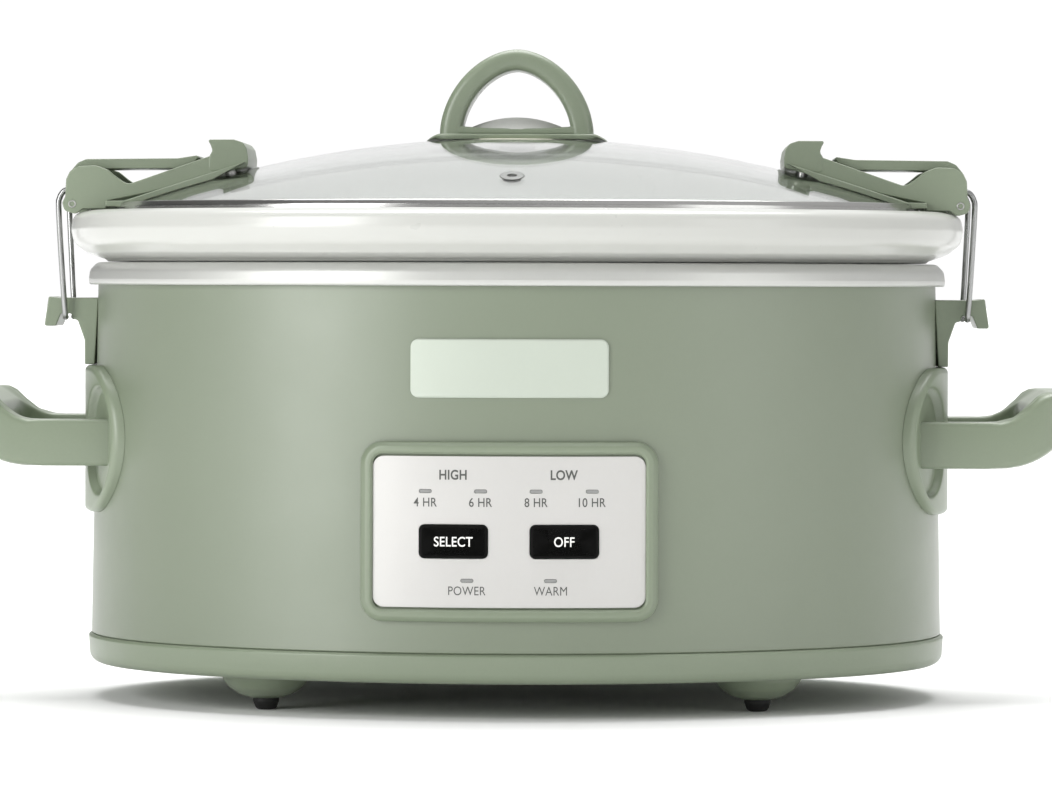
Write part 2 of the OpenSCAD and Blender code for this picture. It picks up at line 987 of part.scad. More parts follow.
module lid_glass() {
    color([0.80, 0.86, 0.84, 0.4])
        difference() {
            intersection() {
                dome_solid(0);
                oval_plate(glass_a, 150, 230);
            }
            difference() {
                dome_solid(glass_t);
                bowl_ball(bowl_t);
            }
            bowl_ball(0);
            cylinder(h = far, r = stem_r);
            on_dome(0, vent_y)
                translate([0, 0, -10])
                    cylinder(h = 20, r = 3.2);
            at_rivets()
                translate([0, 0, -10])
                    cylinder(h = 20, r = rivet_r + 0.1);
        }
}

lid_a = 155.5;
lid_band_z = [183.4, 190.6];
lid_band_t = 0.7;

module lid_rim_band() {
    color(silver)
        oval_ring()
            polygon([[lid_a - 3, lid_band_z[0]], [lid_a, lid_band_z[0]], [lid_a, lid_band_z[1] - 0.5],
                     [lid_a - 0.5, lid_band_z[1]], [lid_a - 4.7, lid_band_z[1]],
                     [lid_a - 4.7, lid_band_z[1] - lid_band_t],
                     [lid_a - lid_band_t, lid_band_z[1] - lid_band_t],
                     [lid_a - lid_band_t, lid_band_z[0] + 0.6], [lid_a - 3, lid_band_z[0] + 0.6]]);
}

gasket = [4.5, 1.2];

module lid_gasket() {
    color(cream)
        oval_ring()
            translate([lid_a - 3.4 - gasket[0], lid_band_z[0]])
                square(gasket);
}

module vent_grommet() {
    color(steel)
        on_dome(0, vent_y)
            difference() {
                union() {
                    translate([0, 0, -glass_t - 1])
                        cylinder(h = glass_t + 2, r = 3.1);
                    translate([0, 0, 0.1])
                        cylinder(h = 0.9, r = 4.7);
                    translate([0, 0, -glass_t - 1.1])
                        cylinder(h = 0.9, r = 4.7);
                }
                translate([0, 0, -20])
                    cylinder(h = 40, r = 1.8);
            }
}

base_half_x = 35.2;
base_half_y = 17;
seat_r = 22;
seat_top_z = 214.2;
base_top_z = 217.3;
foot_top_z = 220.4;
foot_half_x = 30.4;

module handle_base() {
    color(sage)
        difference() {
            intersection() {
                along_y(-base_half_y, base_half_y)
                    polygon([[-base_half_x, 210], [base_half_x, 210], [base_half_x, 215.2],
                             [foot_half_x, base_top_z], [-foot_half_x, base_top_z], [-base_half_x, 215.2]]);
                translate([0, 0, 205])
                    linear_extrude(20)
                        intersection() {
                            circle(r = base_half_x);
                            square([2 * base_half_x, 2 * base_half_y], center = true);
                        }
                union() {
                    bowl_ball(-0.1);
                    translate([0, 0, dome_top_z - 1])
                        cylinder(h = 10, r = 40);
                }
            }
            difference() {
                dome_solid(-0.1);
                bowl_ball(0);
            }
            translate([0, 0, 200])
                cylinder(h = seat_top_z - 200, r = seat_r + 0.1);
            cylinder(h = far, r = stem_r);
        }
}

module handle_seat() {
    color(cream)
        difference() {
            intersection() {
                translate([0, 0, 205])
                    cylinder(h = seat_top_z - 205, r = seat_r);
                bowl_ball(-0.1);
            }
            cylinder(h = far, r = stem_r);
        }
}

arch_y = 13.5;
arch_out = [29.6, handle_top_z - base_top_z];
arch_in = [20.9, handle_top_z - 8.1 - base_top_z];

function ellipse_pts(rx, rz, n = 28) = [for (i = [0:n]) [rx * cos(180 * i / n), rz * sin(180 * i / n)]];

module lid_handle() {
    color(sage)
        difference() {
            union() {
                along_y(-arch_y, arch_y)
                    translate([0, base_top_z])
                        polygon(ellipse_pts(arch_out[0], arch_out[1]));
                along_y(-arch_y, arch_y)
                    polygon([[-foot_half_x, base_top_z], [foot_half_x, base_top_z],
                             [foot_half_x, foot_top_z], [-foot_half_x, foot_top_z]]);
            }
            difference() {
                along_y(-arch_y - 1, arch_y + 1)
                    translate([0, base_top_z])
                        polygon(ellipse_pts(arch_in[0], arch_in[1]));
                translate([-40, -40, 200])
                    cube([80, 80, foot_top_z - 200]);
            }
            translate([0, 0, 200])
                cylinder(h = foot_top_z - 0.8 - 200, r = 2.52);
        }
}

cap_half_x = 19.8;
cap_top_z = 224;

module handle_cap() {
    cap_rise = cap_top_z - foot_top_z - 0.1;
    cap_radius = (cap_half_x * cap_half_x + cap_rise * cap_rise) / (2 * cap_rise);
    color([0.78, 0.78, 0.76])
        intersection() {
            translate([0, 0, cap_top_z - cap_radius])
                sphere(r = cap_radius, $fn = fine_fn);
            translate([-30, -arch_y + 0.5, foot_top_z + 0.1])
                cube([60, 2 * arch_y - 1, 10]);
        }
}

under_glass_z = bowl_bottom_z - bowl_t;

module handle_washer() {
    color(steel)
        difference() {
            translate([0, 0, under_glass_z - 1.3])
                cylinder(h = 1.2, r = 7);
            cylinder(h = far, r = stem_r);
        }
}

module handle_screw() {
    head_z = under_glass_z - 1.35;
    color(steel)
        union() {
            translate([0, 0, head_z - 2.2])
                cylinder(h = 2.2, r = 4.4);
            translate([0, 0, head_z - 1])
                cylinder(h = 218.8 - head_z + 1, r = 2.5);
        }
}

// ---------------------------------------------------------------- latches

cheek_y = [22, 25];
flange_y = 28;
lobe_r = 3.9;
pin_r = 1.5;

module cheek_profile() {
    polygon([[150, 191], [156.5, 190.8], [157, 187.9], [166, 187.9], [pivot_x, 185.9],
             [pivot_x + 3, 187.2], [172.8, 192], [172.6, 199.5], [171.2, 202], [168, 204],
             [163, 204.6], [159.7, 204.4], [156.9, 203], [153.3, 200.3], [149.2, 197.1],
             [117.7, 208.3], [103.4, 207.5], [103.4, 204]]);
    translate([pivot_x, pivot_z])
        circle(r = lobe_r);
}

module tab_profile() {
    polygon([[102.8, 203.5], [117.7, 202], [117.7, 208.3], [116.3, 210.2], [116.8, 212.2],
             [118.2, 214.5], [108, 214.6], [105, 213.6], [103.4, 211.4], [102.8, 208]]);
}

module flange_profile() {
    polygon([[103, 200], [103, 206.8], [150, 191.4], [157.4, 190.9], [157.4, 188.4],
             [154, 188.4], [150, 185]]);
}

module latch_bracket(side) {
    color(sage)
        mirrored_x(side)
            difference() {
                union() {
                    for (s = [0, 1])
                        mirror([0, s, 0])
                            along_y(cheek_y[0], cheek_y[1])
                                cheek_profile();
                    along_y(-cheek_y[1], cheek_y[1])
                        tab_profile();
                    along_y(-flange_y, flange_y)
                        flange_profile();
                }
                dome_solid(-0.1);
                oval_plate(lid_a + 0.15, 180, lid_band_z[1] + 0.1);
                translate([pivot_x, -far / 2, pivot_z])
                    rotate([-90, 0, 0])
                        cylinder(h = far, r = pin_r + 0.02);
                for (y = [-rivet_y, rivet_y])
                    on_dome(rivet_x, y)
                        translate([0, 0, -5])
                            cylinder(h = 9, r = rivet_r + 0.05);
            }
}

module bracket_rivets() {
    color(steel)
        at_rivets() {
            translate([0, 0, -glass_t - 1.7])
                cylinder(h = 1.6, r = 4);
            translate([0, 0, -glass_t - 0.5])
                cylinder(h = glass_t + 4.2, r = rivet_r);
        }
}

module latch_pins() {
    pin_half = cheek_y[1] - 0.8;
    color(steel)
        for (x = [-pivot_x, pivot_x])
            translate([x, -pin_half, pivot_z])
                rotate([-90, 0, 0])
                    cylinder(h = 2 * pin_half, r = pin_r);
}

lever_y = 17.5;
ear_t = 4;
bail_pin = [-4.2, 4.8];
bail_hole_r = bail_d / 2 + fit;

// Side view of a lever, from its pivot; the finger tab points to the centre.
module lever_profile() {
    translate([pivot_x, pivot_z])
        polygon([[2.2, 2.6], [2.6, 9.6], [1.2, 12.9], [-1.4, 16], [-4.6, 17.4], [-40, 17.8], [-47.4, 18.8],
                 [-47.9, 18.2], [-46.6, 16.8], [-39.6, 13.8], [-12, 13.6], [-7.6, 10], [-7, 5], [-5, 2]]);
    translate([pivot_x, pivot_z])
        circle(r = 3.6);
}

module latch_lever(side) {
    color(sage)
        mirrored_x(side)
            difference() {
                along_y(-lever_y, lever_y)
                    lever_profile();
                along_y(-lever_y + ear_t, lever_y - ear_t)
                    translate([pivot_x, pivot_z])
                        polygon([[-20, -6], [10, -6], [10, 9], [-3, 13], [-20, 13]]);
                translate([pivot_x, -30, pivot_z])
                    rotate([-90, 0, 0])
                        cylinder(h = 60, r = pin_r + fit);
                translate([pivot_x + bail_pin[0], -30, pivot_z + bail_pin[1]])
                    rotate([-90, 0, 0])
                        cylinder(h = 60, r = bail_hole_r);
            }
}

leg_top_y = 20;
leg_low_y = 17.5;
tip_y = hook_y + 0.4 + bail_d / 2;

// Wire leg of a bail, from the lever's ear, over the pivot and down past
// the hook, where its end turns in beside the hook's arm.
module bail_leg(q) {
    low = [notch_x, notch_z - near - bail_d / 2];
    arch = arc_pts(pivot_x + 0.6, pivot_z + 0.9, 5.1, 100, 0, 6);
    wire(concat(
        [[q[0] - 0.2, leg_top_y - 1.1, q[1] - 0.3], [q[0] + 0.4, leg_top_y - 0.4, q[1] + 0.6]],
        [for (p = arch) [p[0], leg_top_y, p[1]]],
        [[low[0] + 0.1, leg_low_y, low[1] + 2.2], [low[0], leg_low_y - 0.4, low[1] + 0.6],
         [low[0], leg_low_y - 1.2, low[1]], [low[0], tip_y - bail_d / 2, low[1]]]),
        bail_d / 2);
}

// One length of wire: it runs across through the lever and down both sides.
module bail(side) {
    q = [pivot_x + bail_pin[0], pivot_z + bail_pin[1]];
    color(steel)
        mirrored_x(side) {
            translate([q[0], -leg_top_y, q[1]])
                rotate([-90, 0, 0])
                    cylinder(h = 2 * leg_top_y, r = bail_d / 2);
            for (s = [0, 1])
                mirror([0, s, 0])
                    bail_leg(q);
        }
}

module left_escutcheon() {
    escutcheon(-1);
}

module right_escutcheon() {
    escutcheon(1);
}

module left_handle() {
    side_handle(-1);
}

module right_handle() {
    side_handle(1);
}

module left_hook() {
    hook_bracket(-1);
}

module right_hook() {
    hook_bracket(1);
}

module left_latch_bracket() {
    latch_bracket(-1);
}

module right_latch_bracket() {
    latch_bracket(1);
}

module left_latch_lever() {
    latch_lever(-1);
}

module right_latch_lever() {
    latch_lever(1);
}

module left_bail() {
    bail(-1);
}

module right_bail() {
    bail(1);
}

base_tray();
rubber_feet();
outer_wrapper();
rim_band();
heating_pan();
heater_band();
insulation_wrap();
pan_stud();
stud_washer();
stud_nut();
temperature_sensor();
thermal_fuse();
control_bezel();
face_plate();
badge_plate();
indicator_lenses();
control_board();
tact_switches();
indicator_leds();
power_relay();
capacitor();
transformer();
board_screws();
terminal_block();
mains_leads();
heater_leads();
sensor_lead();
cord_gland();
left_escutcheon();
right_escutcheon();
left_handle();
right_handle();
handle_screws();
left_hook();
right_hook();
hook_screws();
select_button();
off_button();
stoneware_crock();
lid_glass();
lid_rim_band();
lid_gasket();
vent_grommet();
handle_base();
handle_seat();
lid_handle();
handle_cap();
handle_screw();
handle_washer();
left_latch_bracket();
right_latch_bracket();
bracket_rivets();
latch_pins();
left_latch_lever();
right_latch_lever();
left_bail();
right_bail();
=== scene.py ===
import json
from math import atan2, cos, degrees, hypot, pi, radians, sin, sqrt, tan, tau

import bmesh
import bpy
from mathutils import Matrix, Vector
from mathutils.geometry import delaunay_2d_cdt


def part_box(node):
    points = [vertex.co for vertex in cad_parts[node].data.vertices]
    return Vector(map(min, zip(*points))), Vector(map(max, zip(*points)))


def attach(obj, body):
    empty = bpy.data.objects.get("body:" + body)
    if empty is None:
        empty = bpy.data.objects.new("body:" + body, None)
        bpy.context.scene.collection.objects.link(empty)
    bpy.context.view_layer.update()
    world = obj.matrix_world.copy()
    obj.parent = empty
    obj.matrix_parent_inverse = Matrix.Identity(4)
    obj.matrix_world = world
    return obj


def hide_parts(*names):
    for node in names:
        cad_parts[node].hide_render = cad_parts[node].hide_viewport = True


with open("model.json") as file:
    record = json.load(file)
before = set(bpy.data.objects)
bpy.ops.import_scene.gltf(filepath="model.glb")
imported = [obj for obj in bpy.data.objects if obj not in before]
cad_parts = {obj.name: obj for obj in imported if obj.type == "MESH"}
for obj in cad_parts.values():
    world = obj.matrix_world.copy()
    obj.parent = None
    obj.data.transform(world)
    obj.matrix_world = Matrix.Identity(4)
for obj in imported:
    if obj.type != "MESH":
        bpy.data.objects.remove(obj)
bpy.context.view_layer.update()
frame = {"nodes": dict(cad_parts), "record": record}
record = frame["record"]

# Everything below is drawn in millimetres and scaled on the way into Blender.
MM = 0.001
BODY = {n: b for b, nodes in record["behaviour"]["bodies"].items() for n in nodes}
SLOT = {row["node"]: row["material_slot"] for row in record["subparts"]}
JOINT = {j["name"]: j for j in record["behaviour"]["joints"]}


def box(node):
    lo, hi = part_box(node)
    return lo / MM, hi / MM


def middle(lo, hi):
    """X and Z of the middle of a box."""
    return (lo.x + hi.x) / 2, (lo.z + hi.z) / 2


# ------------------------------------------------------------------ materials

def srgb(r, g, b):
    """Linear colour of an 8-bit sRGB one."""
    def one(v):
        v = v / 255
        return v / 12.92 if v <= 0.04045 else ((v + 0.055) / 1.055) ** 2.4
    return (one(r), one(g), one(b), 1)


def shade(color, k):
    return (color[0] * k, color[1] * k, color[2] * k, 1)


class Nodes:
    """A node tree, with short ways to add and join nodes."""

    def __init__(self, owner):
        owner.use_nodes = True
        self.nodes, self.links = owner.node_tree.nodes, owner.node_tree.links

    def put(self, node, **values):
        """Sets a node's inputs by name, with _ for a space."""
        for name, value in values.items():
            node.inputs[name.replace("_", " ")].default_value = value

    def add(self, kind, **settings):
        node = self.nodes.new(kind)
        for key, value in settings.items():
            setattr(node, key, value)
        return node

    def join(self, out, socket):
        self.links.new(out, socket)

    def spread(self, fac, low, high, start=0.3, end=0.7, curve="LINEAR"):
        node = self.add("ShaderNodeMapRange", interpolation_type=curve)
        self.put(node, From_Min=start, From_Max=end, To_Min=low, To_Max=high)
        self.join(fac, node.inputs["Value"])
        return node.outputs["Result"]

    def math(self, operation, *values):
        node = self.add("ShaderNodeMath", operation=operation)
        for value, socket in zip(values, node.inputs):
            if isinstance(value, float):
                socket.default_value = value
            else:
                self.join(value, socket)
        return node.outputs["Value"]


class Tree(Nodes):
    """A material's node tree."""

    def __init__(self, name):
        self.mat = bpy.data.materials.new(name)
        super().__init__(self.mat)
        self.shader = self.nodes["Principled BSDF"]
        self.at = self.add("ShaderNodeTexCoord").outputs["Object"]

    def noise(self, scale, detail=3.0, rough=0.5, stretch=None):
        """Noise of a given number of cells per metre; stretch squeezes it along each axis."""
        node = self.add("ShaderNodeTexNoise")
        self.put(node, Scale=scale, Detail=detail, Roughness=rough)
        at = self.at
        if stretch:
            mapping = self.add("ShaderNodeMapping")
            self.put(mapping, Scale=stretch)
            self.join(at, mapping.inputs["Vector"])
            at = mapping.outputs["Vector"]
        self.join(at, node.inputs["Vector"])
        return node.outputs["Fac"]

    def ramp(self, fac, stops):
        node = self.add("ShaderNodeValToRGB")
        elements = node.color_ramp.elements
        while len(elements) < len(stops):
            elements.new(0.5)
        for element, (place, color) in zip(elements, stops):
            element.position = place
            element.color = color
        self.join(fac, node.inputs["Fac"])
        return node.outputs["Color"]

    def mix(self, fac, a, b):
        node = self.add("ShaderNodeMix", data_type="RGBA")
        for value, socket in ((fac, node.inputs["Factor"]), (a, node.inputs["A"]), (b, node.inputs["B"])):
            self.join(value, socket)
        return node.outputs["Result"]

    def edges(self, radius):
        """1 on outer edges and corners, 0 on flat faces."""
        bevel = self.add("ShaderNodeBevel", samples=4)
        self.put(bevel, Radius=radius)
        here = self.add("ShaderNodeNewGeometry").outputs["Normal"]
        dot = self.add("ShaderNodeVectorMath", operation="DOT_PRODUCT")
        self.join(bevel.outputs["Normal"], dot.inputs[0])
        self.join(here, dot.inputs[1])
        return self.spread(dot.outputs["Value"], 1, 0, 0.80, 0.985)

    def bump(self, heights, edge=0):
        """Bumps from (output, depth in metres) pairs, over softened edges if asked."""
        normal = None
        if edge:
            bevel = self.add("ShaderNodeBevel", samples=4)
            self.put(bevel, Radius=edge)
            normal = bevel.outputs["Normal"]
        for out, depth in heights:
            node = self.add("ShaderNodeBump")
            self.put(node, Strength=1, Distance=depth)
            self.join(out, node.inputs["Height"])
            if normal:
                self.join(normal, node.inputs["Normal"])
            normal = node.outputs["Normal"]
        if normal:
            self.join(normal, self.shader.inputs["Normal"])


def coated(name, color, rough, grain, depth, mottle=0.05, wear=0.3, metallic=0.0, coat=0.0,
           coat_rough=0.1, edge=0.0003, specular=0.5):
    """Paint, plastic or rubber: cloudy colour, uneven gloss, a fine grain and paler rubbed edges."""
    t = Tree(name)
    cloud = t.noise(9, 4)
    speck = t.noise(900, 2)
    base = t.ramp(cloud, [(0.32, shade(color, 1 - mottle)), (0.68, shade(color, 1 + mottle))])
    fleck = t.ramp(speck, [(0.35, shade(color, 1 - 0.8 * mottle)), (0.65, shade(color, 1 + 0.8 * mottle))])
    base = t.mix(t.spread(cloud, 0.25, 0.5), base, fleck)
    rubbed = [min(1, c * 1.25 + 0.03) for c in color[:3]] + [1]
    if wear:
        worn = t.math("MULTIPLY", t.edges(0.0006), t.spread(t.noise(60, 5), 0, wear, 0.4, 0.75))
        paint = t.add("ShaderNodeRGB")
        paint.outputs[0].default_value = rubbed
        base = t.mix(worn, base, paint.outputs[0])
    t.join(base, t.shader.inputs["Base Color"])
    t.join(t.spread(t.noise(45, 5, 0.6), rough * 0.9, rough * 1.12), t.shader.inputs["Roughness"])
    t.put(t.shader, Metallic=metallic, Coat_Weight=coat, Coat_Roughness=coat_rough,
          Specular_IOR_Level=specular)
    t.bump([(t.noise(grain, 2), depth)], edge)
    return t.mat


def metal(name, color, rough, lines=(1, 1, 40), depth=0.000006):
    """Bare metal: fine drawn lines, faint stains and uneven polish."""
    t = Tree(name)
    tint, spots = 0.06, 0.12
    drawn = t.noise(400, 3, 0.6, lines)
    stain = t.noise(22, 6, 0.62)
    base = t.ramp(drawn, [(0.3, shade(color, 1 - tint)), (0.7, shade(color, 1 + tint))])
    dull = t.ramp(stain, [(0.45, shade(color, 1)), (0.8, shade(color, 1 - spots))])
    node = t.add("ShaderNodeMix", data_type="RGBA", blend_type="MULTIPLY")
    t.put(node, Factor=0.35)
    t.join(base, node.inputs["A"])
    t.join(dull, node.inputs["B"])
    t.join(node.outputs["Result"], t.shader.inputs["Base Color"])
    t.join(t.spread(stain, rough * 0.85, rough * 1.3), t.shader.inputs["Roughness"])
    t.put(t.shader, Metallic=1)
    t.bump([(drawn, depth)], 0.0002)
    return t.mat


def glazed(name, color):
    """Glazed stoneware: soft gloss, slow ripples, faint specks under the glaze."""
    t = Tree(name)
    cloud = t.noise(14, 5)
    base = t.ramp(cloud, [(0.3, shade(color, 0.965)), (0.7, shade(color, 1.0))])
    specks = t.add("ShaderNodeTexVoronoi")
    t.put(specks, Scale=140)
    t.join(t.at, specks.inputs["Vector"])
    dark = t.add("ShaderNodeRGB")
    dark.outputs[0].default_value = shade(color, 0.55)
    base = t.mix(t.spread(specks.outputs["Distance"], 0.30, 0, 0.015, 0.06), base, dark.outputs[0])
    t.join(base, t.shader.inputs["Base Color"])
    t.join(t.spread(t.noise(30, 4), 0.27, 0.34), t.shader.inputs["Roughness"])
    t.put(t.shader, Coat_Weight=0.35, Coat_Roughness=0.15)
    t.bump([(t.noise(25, 2), 0.00025), (t.noise(700, 2), 0.000006)], 0.0006)
    return t.mat


def clear_glass(name, color):
    t = Tree(name)
    cloud = t.noise(8, 4)
    t.join(t.ramp(cloud, [(0.3, shade(color, 0.97)), (0.7, color)]), t.shader.inputs["Base Color"])
    t.join(t.spread(t.noise(35, 6, 0.7), 0.005, 0.045, 0.45, 0.8), t.shader.inputs["Roughness"])
    t.put(t.shader, Transmission_Weight=1, IOR=1.45)
    t.bump([(t.noise(12, 2), 0.00006)])
    return t.mat


def woven(name, color, scale):
    """Glass tape and sleeving: two crossed sets of threads."""
    t = Tree(name)
    over = t.add("ShaderNodeTexWave", bands_direction="DIAGONAL")
    t.put(over, Scale=scale, Distortion=1.5)
    t.join(t.at, over.inputs["Vector"])
    fuzz = t.noise(600, 4)
    base = t.ramp(over.outputs["Fac"], [(0.2, shade(color, 0.72)), (0.8, shade(color, 1.05))])
    pale = t.ramp(fuzz, [(0.3, shade(color, 0.85)), (0.7, shade(color, 1.1))])
    t.join(t.mix(t.spread(fuzz, 0.2, 0.6), base, pale), t.shader.inputs["Base Color"])
    t.join(t.spread(fuzz, 0.75, 0.95), t.shader.inputs["Roughness"])
    t.put(t.shader, Sheen_Weight=0.3)
    t.bump([(over.outputs["Fac"], 0.0002), (fuzz, 0.0001)])
    return t.mat


SAGE = srgb(112, 122, 102)
SAGE_MOULDED = srgb(121, 132, 111)
MAT = {}


def finish(name, make, *given, **more):
    """Makes a material and files it under its name."""
    MAT[name] = make(name, *given, **more)


finish("sage_paint", coated, SAGE, 0.46, 1500, 0.000010, mottle=0.02, wear=0.1, coat=1.0, coat_rough=0.40)
finish("sage_plastic", coated, SAGE_MOULDED, 0.42, 2200, 0.000014, mottle=0.03, wear=0.35, coat=0.35,
       coat_rough=0.28)
finish("silver_band", coated, srgb(188, 189, 185), 0.38, 1800, 0.000006, mottle=0.02, wear=0,
       metallic=0.4, coat=0.3, coat_rough=0.3)
finish("pan_metal", metal, srgb(205, 205, 203), 0.36)
finish("fixing_steel", metal, srgb(200, 200, 198), 0.30, lines=(1, 1, 1))
finish("wire_steel", metal, srgb(172, 173, 172), 0.28, lines=(20, 20, 1))
finish("lid_band_steel", metal, srgb(204, 204, 202), 0.2, lines=(1, 1, 30), depth=0.000002)
finish("stoneware", glazed, srgb(187, 188, 183))
finish("clear_glass", clear_glass, srgb(238, 240, 238))
finish("cream_plastic", coated, srgb(232, 230, 214), 0.45, 1800, 0.00001, wear=0.1)
finish("cap_plastic", coated, srgb(196, 197, 193), 0.46, 2000, 0.000006, wear=0.1)
finish("silver_plate", coated, srgb(197, 196, 193), 0.40, 2600, 0.000005, mottle=0.012, wear=0.1,
       metallic=0.3)
finish("black_plastic", coated, srgb(12, 12, 11), 0.5, 2600, 0.000012, mottle=0.1, wear=0.06, specular=0.08)
finish("lens_plastic", coated, srgb(140, 141, 139), 0.25, 2000, 0.000004, wear=0.1)
finish("foot_rubber", coated, srgb(17, 17, 16), 0.62, 1200, 0.00003, mottle=0.15, wear=0.4)
finish("gasket_rubber", coated, srgb(126, 128, 125), 0.5, 1200, 0.00002, wear=0.1)
finish("heater_tape", woven, srgb(196, 182, 150), 260)
finish("glass_wool", woven, srgb(236, 230, 208), 120)
finish("board_laminate", coated, srgb(32, 92, 52), 0.35, 900, 0.00003, mottle=0.12)
finish("led_resin", coated, srgb(240, 205, 90), 0.2, 900, 0.00001, mottle=0.1)
finish("relay_plastic", coated, srgb(40, 88, 160), 0.4, 1500, 0.00001)
finish("winding_tape", coated, srgb(200, 158, 60), 0.35, 700, 0.00003, mottle=0.1)
finish("lead_sleeve", woven, srgb(214, 204, 182), 900)
finish("badge_silver", coated, srgb(187, 195, 183), 0.40, 2600, 0.000005, mottle=0.012, wear=0.1,
       metallic=0.3)
finish("bright_zinc", coated, srgb(214, 214, 210), 0.5, 900, 0.000004, mottle=0.04, wear=0.1, metallic=0.3)
finish("print_dark", coated, srgb(78, 79, 76), 0.5, 2000, 0.000003, mottle=0.08, wear=0, edge=0)
finish("print_light", coated, srgb(236, 236, 232), 0.5, 2000, 0.000003, mottle=0.04, wear=0, edge=0)

for node, obj in frame["nodes"].items():
    obj.data.materials.clear()
    obj.data.materials.append(MAT[SLOT[node]])


# ------------------------------------------------------------- mesh building

def piece(name, parts, nodes, angle=32, bevel=0, material=None, body=None):
    """One object from (vertices, faces) lists in mm; it stands for the CAD nodes named."""
    verts, faces = [], []
    for vs, fs in parts:
        faces += [[i + len(verts) for i in f] for f in fs]
        verts += [Vector(v) * MM for v in vs]
    mesh = bpy.data.meshes.new(name)
    mesh.from_pydata(verts, [], faces)
    mesh.validate()
    obj = bpy.data.objects.new(name, mesh)
    bpy.context.scene.collection.objects.link(obj)
    bm = bmesh.new()
    bm.from_mesh(mesh)
    bmesh.ops.remove_doubles(bm, verts=bm.verts, dist=1e-6)
    bmesh.ops.dissolve_degenerate(bm, edges=bm.edges, dist=1e-7)
    bmesh.ops.recalc_face_normals(bm, faces=bm.faces)
    for f in bm.faces:
        f.smooth = True
    if not bevel:
        for e in bm.edges:
            e.smooth = e.calc_face_angle(0) < radians(angle)
    bm.to_mesh(mesh)
    bm.free()
    if bevel:
        mod = obj.modifiers.new("soft edges", "BEVEL")
        mod.width, mod.segments = bevel * MM, 3
        mod.limit_method, mod.angle_limit = "ANGLE", radians(angle)
        mod.harden_normals = mod.use_clamp_overlap = True
    mesh.materials.append(material or MAT[SLOT[nodes[0]]])
    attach(obj, body or BODY[nodes[0]])
    if nodes:
        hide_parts(*nodes)
    return obj


def fillet(points, n=5, closed=True):
    """Rounds the corners of a path of (x, y, radius) points."""
    out = []
    for i, (x, y, r) in enumerate(points):
        here = Vector((x, y))
        if r <= 0 or (not closed and i in (0, len(points) - 1)):
            out.append(here)
            continue
        before = Vector(points[i - 1][:2]) - here
        after = Vector(points[(i + 1) % len(points)][:2]) - here
        half = before.angle(after) / 2
        cut = min(r / tan(half), before.length * 0.49, after.length * 0.49)
        radius = cut * tan(half)
        middle = (before.normalized() + after.normalized()).normalized() * (radius / sin(half))
        start = before.normalized() * cut - middle
        turn = start.angle_signed(after.normalized() * cut - middle)
        for k in range(n + 1):
            t = -turn * k / n
            spoke = Vector((start.x * cos(t) - start.y * sin(t),
                            start.x * sin(t) + start.y * cos(t)))
            out.append(here + middle + spoke)
    return [(p.x, p.y) for p in out]


END_C, SIDE_C, GAP = 51.0, 68.0, 34.0  # the oval's arc centres, as in the CAD
ARC_STEPS = 44  # steps along each of the oval's four arcs


def stations(n=ARC_STEPS):
    """Centre, offset and direction at every step round the oval."""
    corner = degrees(atan2(SIDE_C, END_C))
    arcs = [(END_C, 0, -END_C, -corner, corner), (0, -SIDE_C, GAP, corner, 180 - corner),
            (-END_C, 0, -END_C, 180 - corner, 180 + corner), (0, SIDE_C, GAP, 180 + corner, 360 - corner)]
    return [(cx, cy, k, cos(t), sin(t)) for cx, cy, k, a0, a1 in arcs
            for t in (radians(a0 + (a1 - a0) * i / n) for i in range(n))]


def grid_faces(rows, cols, wrap_rows=False, wrap_cols=False):
    return [[r * cols + c, r * cols + (c + 1) % cols, (r + 1) % rows * cols + (c + 1) % cols,
             (r + 1) % rows * cols + c]
            for r in range(rows if wrap_rows else rows - 1) for c in range(cols if wrap_cols else cols - 1)]


def closed_skin(verts, cols):
    """A skin over rows of points that each close on themselves, with both ends filled."""
    last = len(verts) - cols
    return verts, grid_faces(len(verts) // cols, cols, False, True) + [list(range(cols)),
                                                                       list(range(last, last + cols))]


def circle(n):
    """Cosine and sine at n even steps round a circle."""
    return [(cos(tau * i / n), sin(tau * i / n)) for i in range(n)]


def ring(profile, capped=False, n=ARC_STEPS):
    """Sweeps (half-width, height) points round the oval; capped closes both ends of an open profile."""
    around = stations(n)
    verts = [(cx + (a + k) * c, cy + (a + k) * s, z) for cx, cy, k, c, s in around for a, z in profile]
    faces = grid_faces(len(around), len(profile), True, not capped)
    if capped:
        faces.append([i * len(profile) for i in range(len(around))])
        faces.append([i * len(profile) + len(profile) - 1 for i in range(len(around))][::-1])
    return verts, faces


def spun(profile, centre, n=40):
    """Revolves (radius, height) points about a vertical line; both ends are closed."""
    verts = [(centre[0] + r * c, centre[1] + r * s, z) for c, s in circle(n) for r, z in profile]
    faces = grid_faces(n, len(profile), True)
    faces.append([i * len(profile) for i in range(n)])
    faces.append([i * len(profile) + len(profile) - 1 for i in range(n)])
    return verts, faces


def slab(outline, y0, y1):
    """A shape in X and Z, from y0 to y1."""
    n = len(outline)
    verts = [(x, y, z) for y in (y0, y1) for x, z in outline]
    faces = [[i, (i + 1) % n, n + (i + 1) % n, n + i] for i in range(n)]
    return verts, faces + [list(range(n))[::-1], list(range(n, 2 * n))]


def tube(path, r, sides=14):
    """A round wire along a path, with flat ends."""
    pts = [Vector(p) for p in path]
    n = len(pts)
    verts, side = [], None
    for i, p in enumerate(pts):
        along = (pts[min(i + 1, n - 1)] - pts[max(i - 1, 0)]).normalized()
        if side is None:
            side = along.orthogonal().normalized()
        side = (side - along * side.dot(along)).normalized()
        up = along.cross(side)
        verts += [p + r * (c * side + s * up) for c, s in circle(sides)]
    return closed_skin(verts, sides)


